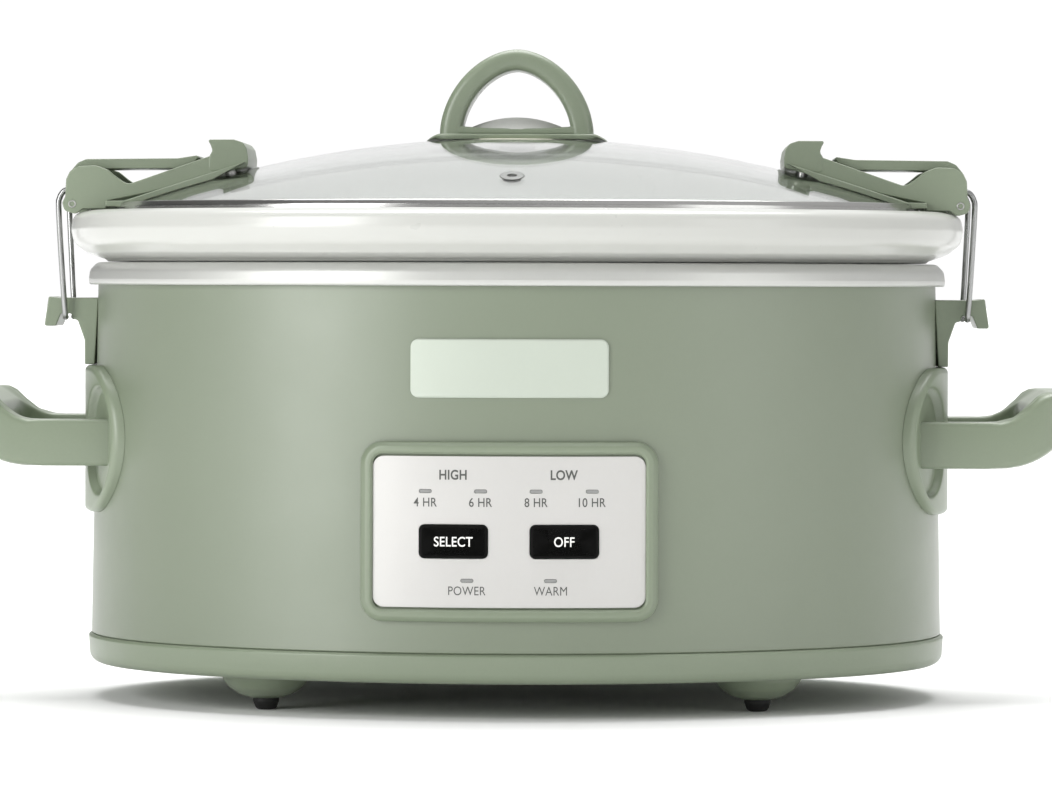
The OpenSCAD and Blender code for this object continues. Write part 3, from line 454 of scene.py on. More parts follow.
def smooth_path(points, n=6):
    """Catmull-Rom curve through points."""
    pts = [Vector(p) for p in points]
    out = []
    for i in range(len(pts) - 1):
        a, b, c, d = pts[max(i - 1, 0)], pts[i], pts[i + 1], pts[min(i + 2, len(pts) - 1)]
        for k in range(n):
            t = k / n
            out.append(0.5 * (2 * b + (c - a) * t + (2 * a - 5 * b + 4 * c - d) * t * t
                              + (3 * b - a - 3 * c + d) * t ** 3))
    return out + [pts[-1]]


def shifted(points, x, z):
    """Outline points given from the place (x, z)."""
    return [(x + dx, z + dz, r) for dx, dz, r in points]


def mirrored(parts):
    return [([(-v[0], v[1], v[2]) for v in vs], [f[::-1] for f in fs]) for vs, fs in parts]


def both_sides(name, make, node, **kw):
    """A right-hand piece and its mirror image."""
    for side in ("left", "right"):
        parts = make()
        piece(f"{side}_{name}", mirrored(parts) if side == "left" else parts, [f"{side}_{node}"], **kw)


# -------------------------------------------------------------------- housing

tray_hi = box("base_tray")[1]
wrap_lo, wrap_hi = box("outer_wrapper")
rim_lo, rim_hi = box("rim_band")
WRAP_LOW_A, WRAP_TOP_A = wrap_hi.x, wrap_hi.x - 2.5


def wall_a(z):
    return WRAP_LOW_A + (WRAP_TOP_A - WRAP_LOW_A) * (z - wrap_lo.z) / (wrap_hi.z - wrap_lo.z)


def front_wall():
    """The wrapper, with the opening for the panel left out of its front."""
    cut_x, cut_lo, cut_hi = 48.0, 43.3, 95.3
    wall = 0.8
    heights = [wrap_lo.z, wrap_lo.z + 0.5, 34, cut_lo, 60, 78, cut_hi, 120, 145, wrap_hi.z]
    around = stations()
    for i, (cx, cy, k, c, s) in enumerate(around):
        if cy > 0 and i > 0:
            reach = wall_a(70) + k
            for x in (-cut_x, cut_x):
                if abs(reach * c - x) < reach * pi / 4 / ARC_STEPS and abs(c) < 0.4:
                    c = x / reach
                    around[i] = (cx, cy, k, c, -sqrt(1 - c * c))
    inset = [0.5] + [0] * (len(heights) - 1)
    outer = [(wall_a(z) - d, z) for z, d in zip(heights, inset)]
    profile = outer + [(a - wall, z) for a, z in reversed(outer)]
    verts = [(cx + (a + k) * c, cy + (a + k) * s, z) for cx, cy, k, c, s in around for a, z in profile]
    cols, top = len(profile), len(heights)
    lo, hi = heights.index(cut_lo), heights.index(cut_hi)
    faces = []
    for f in grid_faces(len(around), cols, True, True):
        c = f[0] % cols
        mid = sum((Vector(verts[i]) for i in f), Vector()) / 4
        level = c if c < top else 2 * top - 2 - c
        if mid.y < 0 and abs(mid.x) < cut_x - 0.1 and lo <= level < hi and c not in (top - 1, 2 * top - 1):
            continue
        faces.append(f)
    inside = [i for i, (cx, cy, k, c, s) in enumerate(around)
              if cy > 0 and abs((wall_a(70) + k) * c) < cut_x + 0.1]
    inside.sort(key=lambda i: around[i][3])
    for a, b in zip(inside, inside[1:]):
        for level in (lo, hi):
            back = 2 * top - 1 - level
            faces.append([a * cols + level, b * cols + level, b * cols + back, a * cols + back])
    for end in (inside[0], inside[-1]):
        for level in range(lo, hi):
            back = 2 * top - 1 - level
            first = end * cols
            faces.append([first + level, first + level + 1, first + back - 1, first + back])
    return verts, faces


piece("wrapper", [front_wall()], ["outer_wrapper"], angle=40)

piece("silver_rim", [ring(fillet(shifted([
    (-3.2, 0.1, 0.3), (-0.1, 0, 0.9), (0, 2.2, 3), (-0.4, 5.6, 3.2), (-3.2, 8.6, 3.2), (-14.7, 8.6, 0.4),
    (-14.7, 7.6, 0.4), (-3.8, 7.6, 2), (-1.1, 4.8, 2), (-1.1, 1.1, 0.3), (-3.2, 1.1, 0.3)],
    rim_hi.x, rim_lo.z)))], ["rim_band"])

BOTTOM = 13.5  # underside of the tray


def turned(core, points, centre):
    """A turned part whose profile starts on a tiny core radius instead of on the axis."""
    return spun([(core, points[0][1])] + fillet(points, closed=False)[1:], centre)


CONE = [(0, 4.5, 0), (5.6, 4.5, 0.8), (9.6, 5.6, 5), (13.9, 8.4, 5), (16.2, 11.6, 4), (16.8, BOTTOM, 0),
        (16.8, BOTTOM + 0.3, 0)]
RUBBER = [(0, 0, 0), (3.7, 0, 1.8), (4.9, 3.2, 1.5), (4.9, 4.7, 0.3), (2.4, 4.9, 0), (2.4, 10.8, 0.3),
          (0.1, 10.8, 0)]
foot = [abs(v) for v in record["mounts"][0]["pos_m"][:2]]
FEET = [(sx * foot[0] / MM, sy * foot[1] / MM) for sx in (-1, 1) for sy in (-1, 1)]
SLOT_W, SLOT_L, SLOT_Y, SLOT_LIP = 2.0, 13.0, 60.0, 0.6  # half-width, half-length, place and rim


def slot_loop(x, grow):
    w, h = SLOT_W + grow, SLOT_L + grow
    return fillet([(x - w, -h, w - 0.1), (x + w, -h, w - 0.1), (x + w, h, w - 0.1), (x - w, h, w - 0.1)], 3)


def slot_rim(x, side):
    """The raised rim round one vent slot."""
    edge, outer = slot_loop(x, 0), slot_loop(x, SLOT_LIP)
    top, low = BOTTOM + 0.02, BOTTOM - 0.35
    verts = [(px, py + side * SLOT_Y, z) for loop, z in ((edge, top), (edge, low), (outer, low), (outer, top))
             for px, py in loop]
    return verts, grid_faces(4, len(edge), True, True)


slots = [slot_rim(x, side) for x in range(-40, 41, 10) for side in (-1, 1)]
A, T = tray_hi.x, tray_hi.z - 0.05
tray = ring(fillet([
    (40, BOTTOM, 0), (120, BOTTOM, 0), (A - 0.7, BOTTOM, 4), (A, tray_hi.z - 0.8, 0.7), (A - 1.1, T, 0.5),
    (A - 2.9, T, 0.3), (A - 3.2, 18, 2), (120, 16, 0), (40, 16, 0)], closed=False), capped=True)
piece("tray", [tray] + [turned(0.2, CONE, c) for c in FEET] + slots, ["base_tray"], angle=28)
piece("feet", [turned(0.1, RUBBER, c) for c in FEET], ["rubber_feet"])


# -------------------------------------------------------------- control panel

plate_lo, plate_hi = box("face_plate")
bezel_lo, bezel_hi = box("control_bezel")
PANEL_Z = middle(plate_lo, plate_hi)[1]


def on_front(x, z, d):
    """The point d in front of the wrapper's face."""
    reach = wall_a(z) + GAP + d
    return (x, SIDE_C - sqrt(reach * reach - x * x), z)


def rounded_loop(w, h, r, cx=0.0, cz=0.0, n=8, step=6.0):
    """Points round a rounded rectangle, with extra ones along the straights."""
    out = []
    for qx, qz, start in ((1, 1, 0), (-1, 1, 90), (-1, -1, 180), (1, -1, 270)):
        mx, mz = cx + qx * (w / 2 - r), cz + qz * (h / 2 - r)
        out += [(mx + r * cos(radians(start + 90 * i / n)),
                 mz + r * sin(radians(start + 90 * i / n))) for i in range(n + 1)]
    full = []
    for i, a in enumerate(out):
        b = out[(i + 1) % len(out)]
        full.append(a)
        parts = int(hypot(b[0] - a[0], b[1] - a[1]) // step)
        full += [(a[0] + (b[0] - a[0]) * k / (parts + 1), a[1] + (b[1] - a[1]) * k / (parts + 1))
                 for k in range(1, parts + 1)]
    return full


def inset_rows(edge, w, h, r, cx, cz, section):
    """The points of a rounded rectangle's edge, pulled in and raised by each (inset, height) pair."""
    verts = []
    for inset, d in section:
        k = (r - inset) / r
        for x, z in edge:
            mx = max(cx - w / 2 + r, min(cx + w / 2 - r, x))
            mz = max(cz - h / 2 + r, min(cz + h / 2 - r, z))
            verts.append(on_front(mx + (x - mx) * k, mz + (z - mz) * k, d))
    return verts


def frame_ring(w, h, r, section, cz):
    """Sweeps (inset, height) points round a rounded rectangle on the wrapper's front."""
    edge = rounded_loop(w, h, r, 0, cz)
    return inset_rows(edge, w, h, r, 0, cz, section), grid_faces(len(section), len(edge), True, True)


bezel_w, bezel_h = bezel_hi.x - bezel_lo.x, bezel_hi.z - bezel_lo.z
piece("bezel", [
    frame_ring(bezel_w, bezel_h, 8.3, fillet([
        (0, 0.05, 0.05), (0, 2.0, 1.4), (1.7, 3.6, 1.4), (3.7, 3.6, 0.8), (4.55, 2.4, 0.3),
        (4.6, 0.82, 0.1), (7.2, 0.75, 0.1), (7.2, 0.05, 0.05)], 4), PANEL_Z),
    frame_ring(95.2, 51.2, 4.4, [(0, 0.3), (1.5, 0.3), (1.5, -7), (0, -7)], PANEL_Z),
], ["control_bezel"], angle=38)


def sheet(outline, holes, d0, d1, step=4.0):
    """A plate with holes, laid on the wrapper's front, from d0 to d1 in front of it."""
    loops = [outline] + holes
    points, edges = [], []
    for loop in loops:
        start = len(points)
        points += [Vector(p) for p in loop]
        edges += [(start + i, start + (i + 1) % len(loop)) for i in range(len(loop))]

    def within(p, loop):
        hit = False
        for (x0, z0), (x1, z1) in zip(loop, loop[1:] + loop[:1]):
            if (z0 > p[1]) != (z1 > p[1]) and p[0] < (x1 - x0) * (p[1] - z0) / (z1 - z0) + x0:
                hit = not hit
        return hit

    def clear(p):
        return all(hypot(p[0] - q[0], p[1] - q[1]) > step * 0.35 for loop in loops for q in loop)

    xs, zs = [p[0] for p in outline], [p[1] for p in outline]
    nx, nz = int((max(xs) - min(xs)) / step), int((max(zs) - min(zs)) / (2 * step))
    for i in range(1, nx):
        for j in range(1, max(nz, 1)):
            p = (min(xs) + (max(xs) - min(xs)) * i / nx, min(zs) + (max(zs) - min(zs)) * j / nz)
            if within(p, outline) and not any(within(p, h) for h in holes) and clear(p):
                points.append(Vector(p))
    flat, _, tris, _, _, _ = delaunay_2d_cdt(points, edges, [], 0, 1e-5)
    keep = []
    for t in tris:
        c = sum((flat[i] for i in t), Vector((0, 0))) / len(t)
        if within(c, outline) and not any(within(c, h) for h in holes):
            keep.append(list(t))
    n = len(flat)
    verts = [on_front(p.x, p.y, d) for d in (d1, d0) for p in flat]
    faces = keep + [[i + n for i in t][::-1] for t in keep]
    used = dict.fromkeys((a, b) for t in keep for a, b in zip(t, t[1:] + t[:1]))
    faces += [[a, b, b + n, a + n] for a, b in used if (b, a) not in used]
    return verts, faces


BUTTONS = {name: box(name) for name in ("select_button", "off_button")}
LAMP_W, LAMP_H = 4.5, 1.2


def lamp_places():
    """The centre of each lamp in the panel, from the one node that holds all six."""
    groups = []
    for v in frame["nodes"]["indicator_lenses"].data.vertices:
        x, z = v.co.x / MM, v.co.z / MM
        for group in groups:
            if abs(group[0][0] - x) < LAMP_W + 0.5 and abs(group[0][1] - z) < LAMP_H + 0.8:
                group.append((x, z))
                break
        else:
            groups.append([(x, z)])
    return [tuple((min(axis) + max(axis)) / 2 for axis in zip(*group)) for group in groups]


LAMPS = lamp_places()
PLATE_EXTRA = 0.4  # how much wider and taller the plate is than the CAD's
plate_holes = [rounded_loop(hi.x - lo.x - 1.4, hi.z - lo.z - 1.4, 2.1, *middle(lo, hi), 5, 40)
               for lo, hi in BUTTONS.values()]
plate_holes += [rounded_loop(LAMP_W + 0.2, LAMP_H + 0.2, 0.65, x, z, 4, 40) for x, z in LAMPS]
plate_edge = rounded_loop(plate_hi.x - plate_lo.x + PLATE_EXTRA, plate_hi.z - plate_lo.z + PLATE_EXTRA, 4.1,
                          0, PANEL_Z)
piece("face_plate_skin", [sheet(plate_edge, plate_holes, 0.85, 2.0)], ["face_plate"])
piece("lamps", [sheet(rounded_loop(LAMP_W, LAMP_H, 0.58, x, z, 4, 40), [], -4.5, 1.85, 2)
                for x, z in LAMPS], ["indicator_lenses"])
badge_lo, badge_hi = box("badge_plate")
BADGE_Z = middle(badge_lo, badge_hi)[1]
badge_w, badge_h = badge_hi.x - badge_lo.x, badge_hi.z - badge_lo.z
badge = [sheet(rounded_loop(badge_w - 2 * i, badge_h - 2 * i, 3.0 - i, 0, BADGE_Z), [], 0.05, d)
         for i, d in ((0, 0.65), (0.35, 0.9))]
piece("badge", badge, ["badge_plate"], material=MAT["badge_silver"])


CAP_EDGE = [(0, -1.2), (0, 2.5), (0.15, 2.75), (0.5, 2.88), (1.2, 2.9)]
CAP_CORNER, STEM_R = 1.8, 2


def button(node):
    """A cap with softened edges, its flat top and the stem behind it."""
    lo, hi = BUTTONS[node]
    cx, cz = middle(lo, hi)
    w, h = hi.x - lo.x - 2, hi.z - lo.z - 2
    edge = rounded_loop(w, h, CAP_CORNER, cx, cz, 6, 3)
    n = len(edge)
    verts = inset_rows(edge, w, h, CAP_CORNER, cx, cz, CAP_EDGE)
    faces = grid_faces(len(CAP_EDGE), n, False, True) + [list(range(n))]
    top = sheet([(x, z) for x, _, z in verts[-n:]], [], 2.4, 2.9, 2.5)
    stem = [(cx + STEM_R * c, y, cz + STEM_R * s)
            for y in (on_front(cx, cz, -1.1)[1], hi.y) for c, s in circle(16)]
    return [(verts, faces), top, closed_skin(stem, 16)]


for node in BUTTONS:
    piece(node + "_cap", button(node), [node])


CONDENSED = 0.85  # width of the letters against the font's own
INK = 0.04  # half the thickness of the ink


def lettering(name, words, size, x, z, lift, material, body, bold=0.0):
    """Printed words or numbers, as a thin layer of ink that follows the panel."""
    curve = bpy.data.curves.new(name, "FONT")
    curve.body = words
    curve.size = size
    curve.align_x = "CENTER"
    curve.align_y = "CENTER"
    curve.offset = bold
    curve.space_character = 1.04
    text = bpy.data.objects.new(name, curve)
    bpy.context.scene.collection.objects.link(text)
    bpy.context.view_layer.update()
    flat = bpy.data.meshes.new_from_object(text.evaluated_get(bpy.context.evaluated_depsgraph_get()))
    bpy.data.objects.remove(text)
    xs, ys = [v.co.x for v in flat.vertices], [v.co.y for v in flat.vertices]
    mx, my = (min(xs) + max(xs)) / 2, (min(ys) + max(ys)) / 2
    n = len(flat.vertices)
    verts = [on_front(x + CONDENSED * (v.co.x - mx), z + v.co.y - my, lift + up)
             for up in (INK, -INK) for v in flat.vertices]
    faces, used = [], set()
    for p in flat.polygons:
        ids = list(p.vertices)
        faces += [ids, [i + n for i in ids][::-1]]
        used |= set(zip(ids, ids[1:] + ids[:1]))
    faces += [[a, b, b + n, a + n] for a, b in used if (b, a) not in used]
    bpy.data.meshes.remove(flat)
    piece(name, [(verts, faces)], [], material=material, body=body)


upper = sorted((x, z) for x, z in LAMPS if z > PANEL_Z)
lower = sorted((x, z) for x, z in LAMPS if z < PANEL_Z)
PLATE_D, CAP_D = 2.0, 2.9
for (x, z), words in zip(upper, ("4 HR", "6 HR", "8 HR", "10 HR")):
    lettering("print_" + words.split()[0], words, 4.6, x, z - 4.0, PLATE_D, MAT["print_dark"], "base", 0.04)
for words, pair in (("HIGH", upper[:2]), ("LOW", upper[2:])):
    lettering("print_" + words.lower(), words, 4.9, (pair[0][0] + pair[1][0]) / 2, pair[0][1] + 6.0,
              PLATE_D, MAT["print_dark"], "base", 0.12)
for (x, z), words in zip(lower, ("POWER", "WARM")):
    lettering("print_" + words.lower(), words, 4.6, x, z - 3.7, PLATE_D, MAT["print_dark"], "base")
for node, words in (("select_button", "SELECT"), ("off_button", "OFF")):
    x, z = middle(*BUTTONS[node])
    lettering("print_" + words.lower(), words, 5.0, x, z, CAP_D, MAT["print_light"], node, 0.05)


# ------------------------------------------------------ side handles and hooks

grip_lo, grip_hi = box("right_handle")
esc_lo, esc_hi = box("right_escutcheon")
END = grip_hi.x
ARM_LO, ARM_HI = grip_lo.z + 1.3, grip_lo.z + 19.0
OUT_Y, IN_Y = grip_hi.y, grip_hi.y - 9.5
LOW_R, HIGH_R = 34, 17  # the bends under and over the grip
ROOT_X = 150  # the arms start inside the housing
OUT_R, IN_R = 26, 14  # corners of the U, outside and inside


def grip_low(x):
    return ARM_LO if x < END - 38 else ARM_LO + LOW_R - sqrt(LOW_R ** 2 - min(x - END + 38, 30) ** 2)


def grip_high(x):
    if x < END - 39:
        return ARM_HI
    if x < END - 26:
        return ARM_HI + HIGH_R - sqrt(HIGH_R ** 2 - (x - END + 39) ** 2)
    t = min((x - END + 26) / 7, 1)
    return ARM_HI + 6.05 + (5.4 * t * (2 - t))


def handle():
    """The U of a handle, as rounded sections between its inner and outer edges."""
    spans = []
    out_x, in_x = END - OUT_R, END - OUT_R - IN_R
    for i in range(9):
        t = i / 9
        spans.append(((ROOT_X + (out_x - ROOT_X) * t, OUT_Y), (ROOT_X + (in_x - ROOT_X) * t, IN_Y)))
    for i in range(15):
        t = radians(90 - 90 * i / 14)
        c, s = cos(t), sin(t)
        spans.append(((out_x + OUT_R * c, OUT_Y - OUT_R + OUT_R * s),
                      (in_x + IN_R * c, IN_Y - IN_R + IN_R * s)))
    for i in range(1, 6):
        spans.append(((END, (OUT_Y - OUT_R) * (1 - i / 5)), (out_x, (IN_Y - IN_R) * (1 - i / 5))))
    spans += [((o[0], -o[1]), (n[0], -n[1])) for o, n in reversed(spans[:-1])]
    verts = []
    for outer, inner in spans:
        o, n = Vector(outer), Vector(inner)
        width = (o - n).length
        x0, x1, x2, x3 = ((n + (o - n) * u / width).x for u in (0, width * 0.3, width * 0.7, width))
        big = min(3.6 + max(0, width - 10) * 0.28, 8.0)
        soft = 0.8 if width > 14 else 0
        x3 = min(x3, END - 5)
        section = fillet([
            (0, grip_low(x0), 3.2), (width * 0.3, grip_low(x1), 3), (width * 0.7, grip_low(x2), 3),
            (width, grip_low(x3) + soft, big), (width, grip_high(x3) - soft, big),
            (width * 0.7, grip_high(x2), 3), (width * 0.3, grip_high(x1), 3), (0, grip_high(x0), 3.2)], 4)
        verts += [(*(n + (o - n) * u / width), z) for u, z in section]
    return [closed_skin(verts, len(section))]


both_sides("grip", handle, "handle", angle=60)


def on_end(y, z, a):
    reach = a - END_C
    return (END_C + sqrt(reach * reach - y * y), y, z)


POCKET_Y, POCKET_R, POCKET_RIM = 44.0, 20.0, 2.8


def escutcheon():
    """Stadium-shaped plate on the end wall, with a round pocket where each arm of the handle enters."""
    half_w, h, mid = esc_hi.y, esc_hi.z - esc_lo.z, (esc_hi.z + esc_lo.z) / 2
    top, r = esc_hi.x, h / 2
    flat = half_w - r

    def loop(inset, level):
        out = []
        for s in (1, -1):
            for i in range(121):
                t = radians(-90 + 1.5 * i)
                out.append((s * (flat + (r - inset) * cos(t)), mid + s * (r - inset) * sin(t)))
            out += [(s * flat * (1 - i / 40), mid + s * (r - inset)) for i in range(1, 80)]
        return [on_end(y, z, level(y, z, inset)) for y, z in out]

    def face(y, z, inset):
        edge = top - 2 + sqrt(4 - max(0, 2 - inset) ** 2)
        gap = max(hypot(abs(y) - POCKET_Y, z - mid) - POCKET_R, POCKET_RIM - inset)
        t = max(0, min(1, 0.5 + gap / 1.2))
        floor = wall_a(z) + 1
        edge -= 0.5 * max(0, 1 - max(gap, 0) / 1.4) ** 2
        return floor + (edge - floor) * t * t * (3 - 2 * t)

    def wall(y, z, inset):
        return wall_a(z) + 0.05

    insets = [0, 0.15, 0.4, 0.8, 1.3, 1.7, 2.1, 2.5, 2.9, 3.3, 3.8]
    insets += [4.4 + 0.6 * i for i in range(39)] + [r - 0.02]
    loops = [loop(i, wall) for i in (r - 0.02, 14, 0)] + [loop(i, face) for i in insets]
    return [closed_skin([v for row in loops for v in row], len(loops[0]))]


both_sides("handle_plate", escutcheon, "escutcheon", angle=50)

hook_lo, hook_hi = box("right_hook")
X, Z = hook_hi.x, hook_hi.z


def hook():
    """Bracket on the end wall, with the notched lip that holds the bail."""
    outline = fillet([
        (X - 21, Z - 0.5, 0), (X - 5.6, Z - 0.5, 1.5), (X - 1.7, Z, 0.7), (X, Z - 11.4, 0.8),
        (X - 4.5, Z - 11.4, 0.8), (X - 6.5, Z - 6.6, 1.0), (X - 10.5, Z - 6.6, 1.0), (X - 11.1, Z - 8.8, 0.7),
        (X - 12.9, Z - 9, 2.0), (X - 15.6, hook_lo.z + 9.5, 4), (X - 15.7, hook_lo.z, 0.5),
        (X - 19.5, hook_lo.z, 0)], 4)
    return [slab(outline, hook_lo.y, hook_hi.y)]


both_sides("hook_arm", hook, "hook", angle=30, bevel=0.7)


# ------------------------------------------------------------------ stoneware

crock_lo, crock_hi = box("stoneware_crock")
A, T, B = crock_hi.x, crock_hi.z, crock_lo.z
crock = fillet([
    (60, B + 0.6, 0), (110, B + 0.6, 0), (112, B, 2), (124, B, 3), (A - 31.5, B + 8, 14),
    (A - 25, B + 119.7, 3), (A - 14.3, B + 119.7, 0.6), (A - 13.2, B + 120.6, 0.8), (A - 6.3, B + 122.9, 6),
    (A - 0.9, B + 127, 6.5), (A, T - 6.9, 6), (A - 1.0, T - 1.4, 5), (A - 7.5, T, 6), (A - 13.6, T, 2.2),
    (A - 15.5, T - 2.0, 1.0),
    (A - 15.7, T - 4.3, 1.2), (A - 26.0, T - 4.3, 4), (A - 31.0, T - 8.5, 5), (A - 32.5, T - 30, 20),
    (A - 38.5, B + 19, 16), (A - 49, B + 8, 14), (60, B + 8, 0)], 8, closed=False)
piece("crock", [ring(crock, capped=True, n=56)], ["stoneware_crock"], angle=50)


# ------------------------------------------------------------------------ lid

band_lo, band_hi = box("lid_rim_band")
DOME_RX, DOME_RY, DOME_TOP = 440.0, 272.5, 216.0
GLASS = 2.2  # thickness of the glass
SHALLOWER = 3.6  # how much less deep the dimple is than the CAD's
BOWL_Z = box("handle_washer")[1].z + 0.1 + GLASS + SHALLOWER
BOWL_R = 35.5 ** 2 / (2 * (DOME_TOP - 1.0 - BOWL_Z))
DIMPLE_REACH, NO_BOWL = 60, 400  # past this radius the dimple is set too high to matter


def dome_z(x, y, sink=0.0):
    inner = sqrt((DOME_RY - sink) ** 2 - y * y)
    return DOME_TOP - DOME_RX + sqrt((DOME_RX - DOME_RY + inner) ** 2 - x * x)


def soft_min(a, b, k=0.5):
    h = max(0, min(1, 0.5 + (b - a) / (2 * k)))
    return b + (a - b) * h - k * h * (1 - h)


def glass():
    """The dome with its dimple, as an outer and an inner skin that meet at the rim."""
    around = stations()
    edge = box("lid_glass")[1].x
    steps = [0.004, 0.05, 0.1, 0.14, 0.165, 0.18, 0.19, 0.2, 0.21, 0.22, 0.23, 0.24, 0.255, 0.28, 0.33, 0.4,
             0.48, 0.56, 0.64, 0.72, 0.8, 0.87, 0.93, 0.97, 1.0]
    verts = []
    for u, outside in [(u, True) for u in steps] + [(u, False) for u in reversed(steps)]:
        for cx, cy, k, c, s in around:
            x, y = (cx + (edge + k) * c) * u, (cy + (edge + k) * s) * u
            r2 = x * x + y * y
            bowl = BOWL_Z + r2 / (2 * BOWL_R) if r2 < DIMPLE_REACH ** 2 else NO_BOWL
            top = soft_min(dome_z(x, y), bowl)
            verts.append((x, y, top if outside else min(dome_z(x, y, 3.0), top - GLASS)))
    return closed_skin(verts, len(around))


piece("glass_dome", [glass()], ["lid_glass"], angle=70)


def disc(rows, n=40):
    """A turned part on the lid's axis, from (radius, height) rows."""
    return closed_skin([(r * c, r * s, z) for r, z in rows for c, s in circle(n)], n)


wash_hi, screw_hi = box("handle_washer")[1], box("handle_screw")[1]
W, Z = wash_hi.x, wash_hi.z + SHALLOWER
piece("dimple_washer", [disc([(W - 0.2, Z), (W, Z - 0.2), (W, Z - 0.55), (W - 0.3, Z - 0.8)])],
      ["handle_washer"], angle=50, material=MAT["bright_zinc"])
screw = disc([(2.5, screw_hi.z), (2.5, Z - 0.8), (4.3, Z - 0.82), (4.3, Z - 1.1), (3.6, Z - 1.5),
              (1.5, Z - 1.7)])
piece("dimple_screw", [screw], ["handle_screw"], angle=50, material=MAT["bright_zinc"])


def vent():
    """The steam vent: a soft eyelet pressed into the glass, low on both faces."""
    lo, hi = box("vent_grommet")
    y = (lo.y + hi.y) / 2
    at = Vector((0, y, dome_z(0, y)))
    up = Vector((0, dome_z(0, y - 0.5) - dome_z(0, y + 0.5), 1)).normalized()
    ahead = Vector((1, 0, 0)).cross(up)
    rows = [(1.8, 0.3), (2.1, 0.45), (3.8, 0.42), (4.5, 0.28), (4.7, 0.1), (3.2, 0.06), (3.0, -3.05),
            (3.5, -3.1), (3.5, -3.4), (1.8, -3.5)]
    verts = [at + Vector((r * c, 0, 0)) + ahead * r * s + up * z for r, z in rows for c, s in circle(36)]
    return verts, grid_faces(len(rows), 36, True, True)


piece("vent_eyelet", [vent()], ["vent_grommet"], angle=50)

piece("lid_band", [ring(fillet(shifted([
    (-3, 0, 0.2), (-0.3, 0, 0.5), (0, 1.4, 0.8), (0, 5.4, 1.2), (-0.9, 7.2, 0.9), (-4.7, 7.15, 0.2),
    (-4.7, 6.5, 0.2), (-1.4, 6.4, 0.6), (-0.75, 5.3, 0.6), (-0.75, 0.8, 0.3), (-3, 0.6, 0.2)],
    band_hi.x, band_lo.z), 4))], ["lid_rim_band"])

arch_lo, arch_hi = box("lid_handle")
cap_hi, base_hi, seat_hi = (box("handle_" + name)[1] for name in ("cap", "base", "seat"))


def arch():
    """Arch of the lid handle: a rounded strap bent over an ellipse, with a rail between its feet."""
    rx, rz, foot_z = 25.3, arch_hi.z - base_hi.z - 4.1, base_hi.z
    half_y = arch_hi.y
    verts = []
    steps, power = 60, 1.8
    for i in range(steps + 1):
        t = pi * i / steps
        flat = abs(cos(t))
        u, v = flat ** (2 / power), max(sin(t), 0) ** (2 / power)
        side = 1 if t < pi / 2 else -1
        centre = Vector((side * rx * u, foot_z + rz * v))
        out = Vector((side * u ** (power - 1) / rx, v ** (power - 1) / rz)).normalized()
        thick, wide = 4.05 + 0.3 * flat ** 2, half_y - 1.2 + 1.2 * flat
        section = fillet([(-thick, -wide, 2.6), (thick, -wide, 3.2), (thick, wide, 3.2),
                          (-thick, wide, 2.6)], 5)
        verts += [(centre.x + out.x * u, y, centre.y + out.y * u) for u, y in section]
    strap = closed_skin(verts, len(section))
    verts = []
    low, high, y = foot_z + 0.05, arch_lo.z + 3.1, half_y - 0.3
    half = [(27.5, 0.6), (25, 0.3), (20, -0.3), (10, -0.9)]
    for x, sag in [(-x, sag) for x, sag in half] + [(0, -1.0)] + half[::-1]:
        section = fillet([(-y, low, 0.4), (y, low, 0.4), (y, high + sag, 0.9), (-y, high + sag, 0.9)], 3)
        verts += [(x, *p) for p in section]
    return [strap, closed_skin(verts, len(section))]


piece("lid_arch", arch(), ["lid_handle"], angle=40)


def lens(plan, rows, n=96):
    """Stack of outlines (scale, height or a function of x and radius), with both ends closed."""
    verts = []
    for k, level in rows:
        for i, (c, s) in enumerate(circle(n)):
            r = k * plan(tau * i / n)
            verts.append((r * c, r * s, level(r * c, r) if callable(level) else level))
    return closed_skin(verts, n)


def ellipse(rx, ry):
    return lambda t: rx * ry / hypot(ry * cos(t), rx * sin(t))


def barrel(t):
    """Round ends and straight sides."""
    return ((1 / base_hi.x) ** 14 + (abs(sin(t)) / base_hi.y) ** 14) ** (-1 / 14)


def on_bowl(x, r):
    """Just above the glass in the dimple."""
    return BOWL_Z + r * r / (2 * BOWL_R) + 0.1


def on_foot(sink):
    """The top of the handle's foot: level in the middle and falling away to both ends."""
    return lambda x, r: base_hi.z - sink - soft_min(0, 30.4 - abs(x), 1.0) * -0.44


def under_foot(x, r):
    """The foot rests on the seat in the middle and on the glass round it."""
    return max(on_bowl(x, r), seat_hi.z + 0.05 - 30 * max(0, r - seat_hi.x - 0.3))


rows = [(0.05 + 0.02 * i, under_foot) for i in range(47)]
rows += [(k, on_foot(sink)) for k, sink in
         ((1.0, 0.9), (0.992, 0.4), (0.972, 0.1), (0.93, 0), (0.7, 0), (0.3, 0), (0.05, 0))]
piece("handle_foot", [lens(barrel, rows)], ["handle_base"], angle=50)
rows = [(k, on_bowl) for k in (0.1, 0.4, 0.7, 0.9, 0.98)]
rows += [(1.0, seat_hi.z - 0.7), (0.99, seat_hi.z - 0.2), (0.96, seat_hi.z)]
piece("handle_pad", [lens(ellipse(seat_hi.x, seat_hi.x), rows)], ["handle_seat"], angle=50)
SAG = 4.8  # how far the grey cap falls from its middle to its edge
rows = [(k, cap_hi.z - SAG - 0.1) for k in (0.05, 1)]
rows += [(k, cap_hi.z - SAG * k * k)
         for k in (1, 0.97, 0.92, 0.86, 0.78, 0.7, 0.6, 0.5, 0.4, 0.3, 0.2, 0.1, 0.03)]
piece("handle_dome", [lens(ellipse(cap_hi.x, cap_hi.y), rows)], ["handle_cap"], angle=50)


# -------------------------------------------------------------------- latches

PX, PZ = (JOINT["right_lever_turn"]["pos_m"][i] / MM for i in (0, 2))
QX, QZ = (JOINT["right_bail_swing"]["pos_m"][i] / MM for i in (0, 2))


def rel(points):
    """Outline points given from the lever's pivot."""
    return shifted(points, PX, PZ)


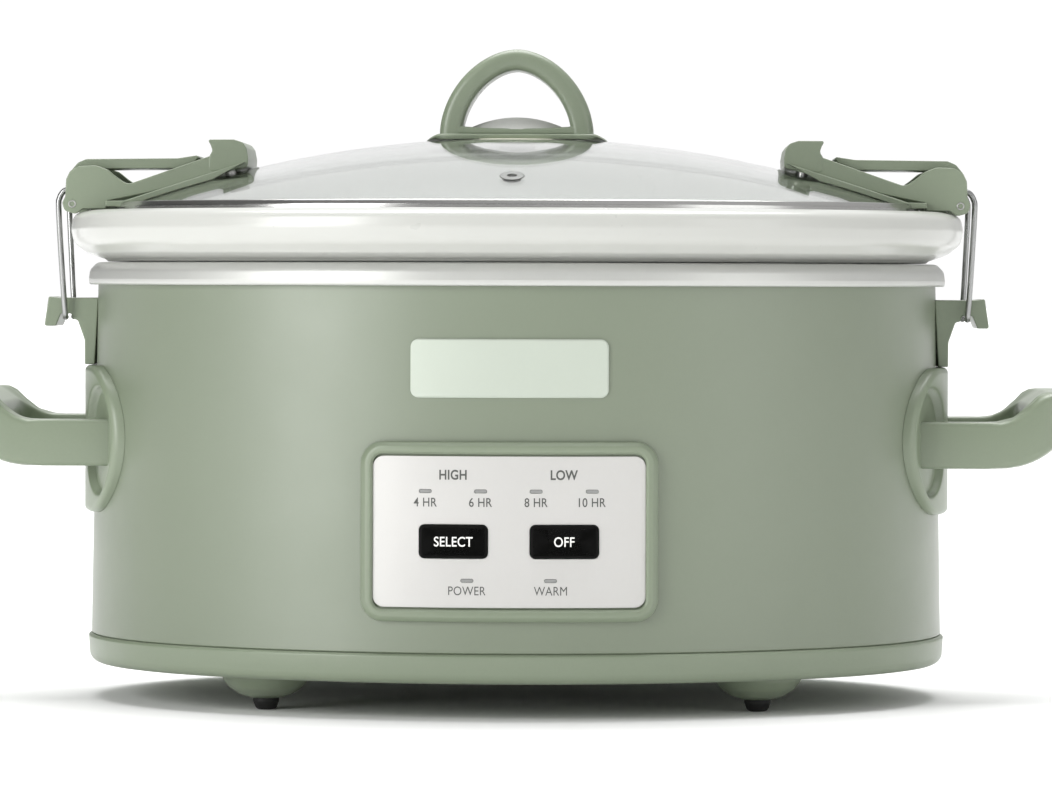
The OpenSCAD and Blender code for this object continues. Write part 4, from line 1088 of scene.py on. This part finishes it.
def bracket():
    """Two cheeks, the arms that rise to the finger block, and the foot on the glass."""
    cheek = fillet(rel([
        (-13.4, 1.2, 0.4), (-13.0, -1.8, 0.5), (-4.2, -1.8, 0.8), (-1.2, -3.9, 2.2), (3.0, -2.6, 2.2),
        (3.9, 0.4, 1.5), (2.7, 3.0, 1.2), (2.4, 9.4, 2.5), (0.9, 12.6, 2.5), (-2.4, 14.5, 4), (-9.0, 14.8, 5),
        (-13.6, 13.2, 5), (-17.0, 10.4, 4), (-21.2, 7.5, 4), (-52.5, 18.4, 0), (-66.8, 17.6, 1),
        (-66.8, 14.4, 1), (-30, 4.6, 6)]), 5)
    block = fillet(rel([
        (-67.4, 14.2, 1.5), (-52.5, 12.6, 1.5), (-52.7, 18.6, 1.5), (-53.9, 20.5, 2), (-53.2, 22.6, 1),
        (-52.0, 24.8, 0.6), (-62, 24.9, 2.0), (-65.4, 23.8, 2.5), (-66.9, 21.7, 2), (-67.6, 18, 2)]), 4)
    shelf = [(-66.5, 16.2), (-20.2, 1.3), (-13.0, 1.2), (-13.0, -1.0), (-16.2, -1.0)]
    on_glass = (150, 145, 140, 132, 124, 116)
    verts = []
    for y in (-28, -25, -20, -13, -6, 0, 6, 13, 20, 25, 28):
        verts += [(PX + x, y, PZ + z) for x, z in shelf]
        verts += [(x, y, dome_z(x, y) + 0.12) for x in on_glass]
    seat = closed_skin(verts, len(shelf) + len(on_glass))
    return [slab(cheek, 22, 25), slab(cheek, -25, -22), slab(block, -25.2, 25.2), seat]


def lever():
    """Curved plate with two ears that hold the pivot and the bail."""
    plate = fillet(rel([
        (2.3, 5.0, 1), (2.6, 9.6, 2.5), (1.2, 12.9, 2), (-1.4, 16, 2.5), (-4.6, 17.4, 3), (-40, 17.8, 8),
        (-47.2, 18.9, 0.4), (-47.8, 18.1, 0.3), (-46.4, 16.6, 0.8), (-39.6, 13.9, 4), (-12, 13.7, 3),
        (-6.5, 11.0, 3), (-2.5, 9.2, 2), (0.0, 6.0, 1)]), 4)
    ear = fillet(rel([
        (2.4, 3.2, 1), (2.5, 10, 1), (-2, 14, 1), (-10, 13.4, 2), (-7.6, 9.6, 1.5), (-7.1, 4.6, 1.5),
        (-3.4, 0.8, 1.5), (-3.2, -1.6, 1.5), (0, -3.6, 2.2), (3.2, -1.6, 2.0)]), 4)
    return [slab(plate, -17.4, 17.4), slab(ear, 13.5, 17.4), slab(ear, -17.4, -13.5)]


both_sides("latch_frame", bracket, "latch_bracket", angle=30, bevel=0.6)
both_sides("latch_plate", lever, "latch_lever", angle=30, bevel=0.6)


def pin():
    """The tubular pin of a latch, with its open ends just proud of the cheeks."""
    rows = [(0.05, -22), (0.95, -22), (0.95, -25.1), (1.05, -25.3), (1.4, -25.3), (1.5, -25.15)]
    rows += [(r, -y) for r, y in reversed(rows)]
    return [closed_skin([(PX + r * c, y, PZ + r * s) for r, y in rows for c, s in circle(24)], 24)]


piece("pins", pin() + mirrored(pin()), ["latch_pins"])
BAIL_LOW = box("right_bail")[0].z
WIRE = 1.1  # radius of the bail's wire
BAIL_Y = 20  # where its two legs leave the lever


def bail():
    """The bent wire: across through the lever, over the pivot, down and in beside the hook."""
    low_z = BAIL_LOW + WIRE
    across = [(QX, y, QZ) for y in (0, 10, 16, 18.6)]
    across += [(QX + 0.6, 19.8, QZ + 0.7), (QX + 2.6, BAIL_Y, QZ + 1.1)]
    over = [(PX + x, BAIL_Y, PZ + z) for x, z in ((0.6, 6.0), (3.6, 5.0), (5.3, 2.4), (5.7, -1.5))]
    down = [(PX + 4.9, 19.3, PZ - 18), (PX + 4.0, 18.0, PZ - 34), (PX + 3.5, 17.5, low_z + 3.0)]
    hold = [(PX + 3.4, y, low_z + up) for y, up in ((17.1, 0.9), (16.2, 0), (14.5, 0))]
    one = smooth_path(across + over + down + hold, 5)
    return [tube([Vector((p.x, -p.y, p.z)) for p in reversed(one)] + one[1:], WIRE)]


both_sides("bail_wire", bail, "bail", angle=50)


# --------------------------------------------------- floor, lights and camera

scene = bpy.context.scene
scene.view_settings.view_transform = "Standard"


def placed(name, data, place=(0, 0, 0)):
    """A new object in the scene, in metres."""
    obj = bpy.data.objects.new(name, data)
    obj.location = place
    scene.collection.objects.link(obj)
    return obj


def soft_light(name, place, size, size_y, power):
    """A rectangular lamp that shines at the middle of the cooker."""
    lamp = bpy.data.lights.new(name, "AREA")
    lamp.shape = "RECTANGLE"
    lamp.size, lamp.size_y = size, size_y
    lamp.energy = power
    way = Vector((0, 0, 0.14)) - Vector(place)
    placed(name, lamp, place).rotation_euler = way.to_track_quat("-Z", "Y").to_euler()


SPAN = 30.0  # half the floor's side
floor_mesh = bpy.data.meshes.new("floor")
corners = [(SPAN * x, SPAN * y, 0) for x, y in ((-1, -1), (1, -1), (1, 1), (-1, 1))]
floor_mesh.from_pydata(corners, [], [[0, 1, 2, 3]])
floor = placed("floor", floor_mesh)
tree = Tree("floor")
tree.join(tree.ramp(tree.noise(2, 2), [(0.3, (0.92, 0.92, 0.92, 1)), (0.7, (0.94, 0.94, 0.94, 1))]),
          tree.shader.inputs["Base Color"])
tree.put(tree.shader, Roughness=0.9, Specular_IOR_Level=0.1)
floor_mesh.materials.append(tree.mat)

# A pale screen behind the cooker, in a room that is dimmer to the left and below.
world = bpy.data.worlds.new("studio")
scene.world = world
sky = Nodes(world)
way = sky.add("ShaderNodeSeparateXYZ")
sky.join(sky.add("ShaderNodeTexCoord").outputs["Generated"], way.inputs[0])
x_way, y_way, z_way = way.outputs
aside = sky.spread(sky.math("ABSOLUTE", x_way), 1, 0, 0.13, 0.34, "SMOOTHSTEP")
screen = sky.math("MULTIPLY", aside, sky.spread(y_way, 0, 1, 0.0, 0.3, "SMOOTHSTEP"))
room = sky.math("ADD", sky.spread(x_way, 0.05, 0.52, -0.8, 0.4, "SMOOTHSTEP"),
                sky.spread(z_way, 0, 0.15, 0.1, 1, "SMOOTHSTEP"))
level = sky.math("ADD", sky.math("MULTIPLY", screen, sky.math("SUBTRACT", 1.02, room)), room)
background = sky.nodes["Background"]
sky.join(level, background.inputs["Strength"])
sky.put(background, Color=(1, 1, 1, 1))
soft_light("key", (-1.36, -1.36, 0.70), 0.74, 1.25, 25.5)
soft_light("fill", (1.7, -1.35, 0.62), 0.9, 1.1, 5)
SUN_POWER, SUN_WIDTH, SUN_TILT = 3.3, 52, -14  # a wide soft lamp overhead, leaning to the back
overhead = bpy.data.lights.new("overhead", "SUN")
overhead.energy = SUN_POWER
overhead.angle = radians(SUN_WIDTH)
placed("overhead", overhead).rotation_euler = (radians(SUN_TILT), 0, 0)

DISTANCE, HEIGHT, FOCAL = 2.06, 0.161, 181.7
ASIDE, DOWN, ROLL = (radians(v) for v in (1.15, 1.235, 0.17))
AIM_X = 0.0037  # the camera looks this far to the right of the middle
camera_data = bpy.data.cameras.new("camera")
camera_data.lens = FOCAL
camera_data.sensor_width = 36.0
camera = placed("camera", camera_data, (DISTANCE * sin(ASIDE), -DISTANCE * cos(ASIDE), HEIGHT))
aim = Vector((AIM_X, 0, HEIGHT - DISTANCE * tan(DOWN)))
look = (aim - camera.location).to_track_quat("-Z", "Y").to_matrix()
camera.rotation_euler = (look @ Matrix.Rotation(ROLL, 3, "Z")).to_euler()
scene.camera = camera
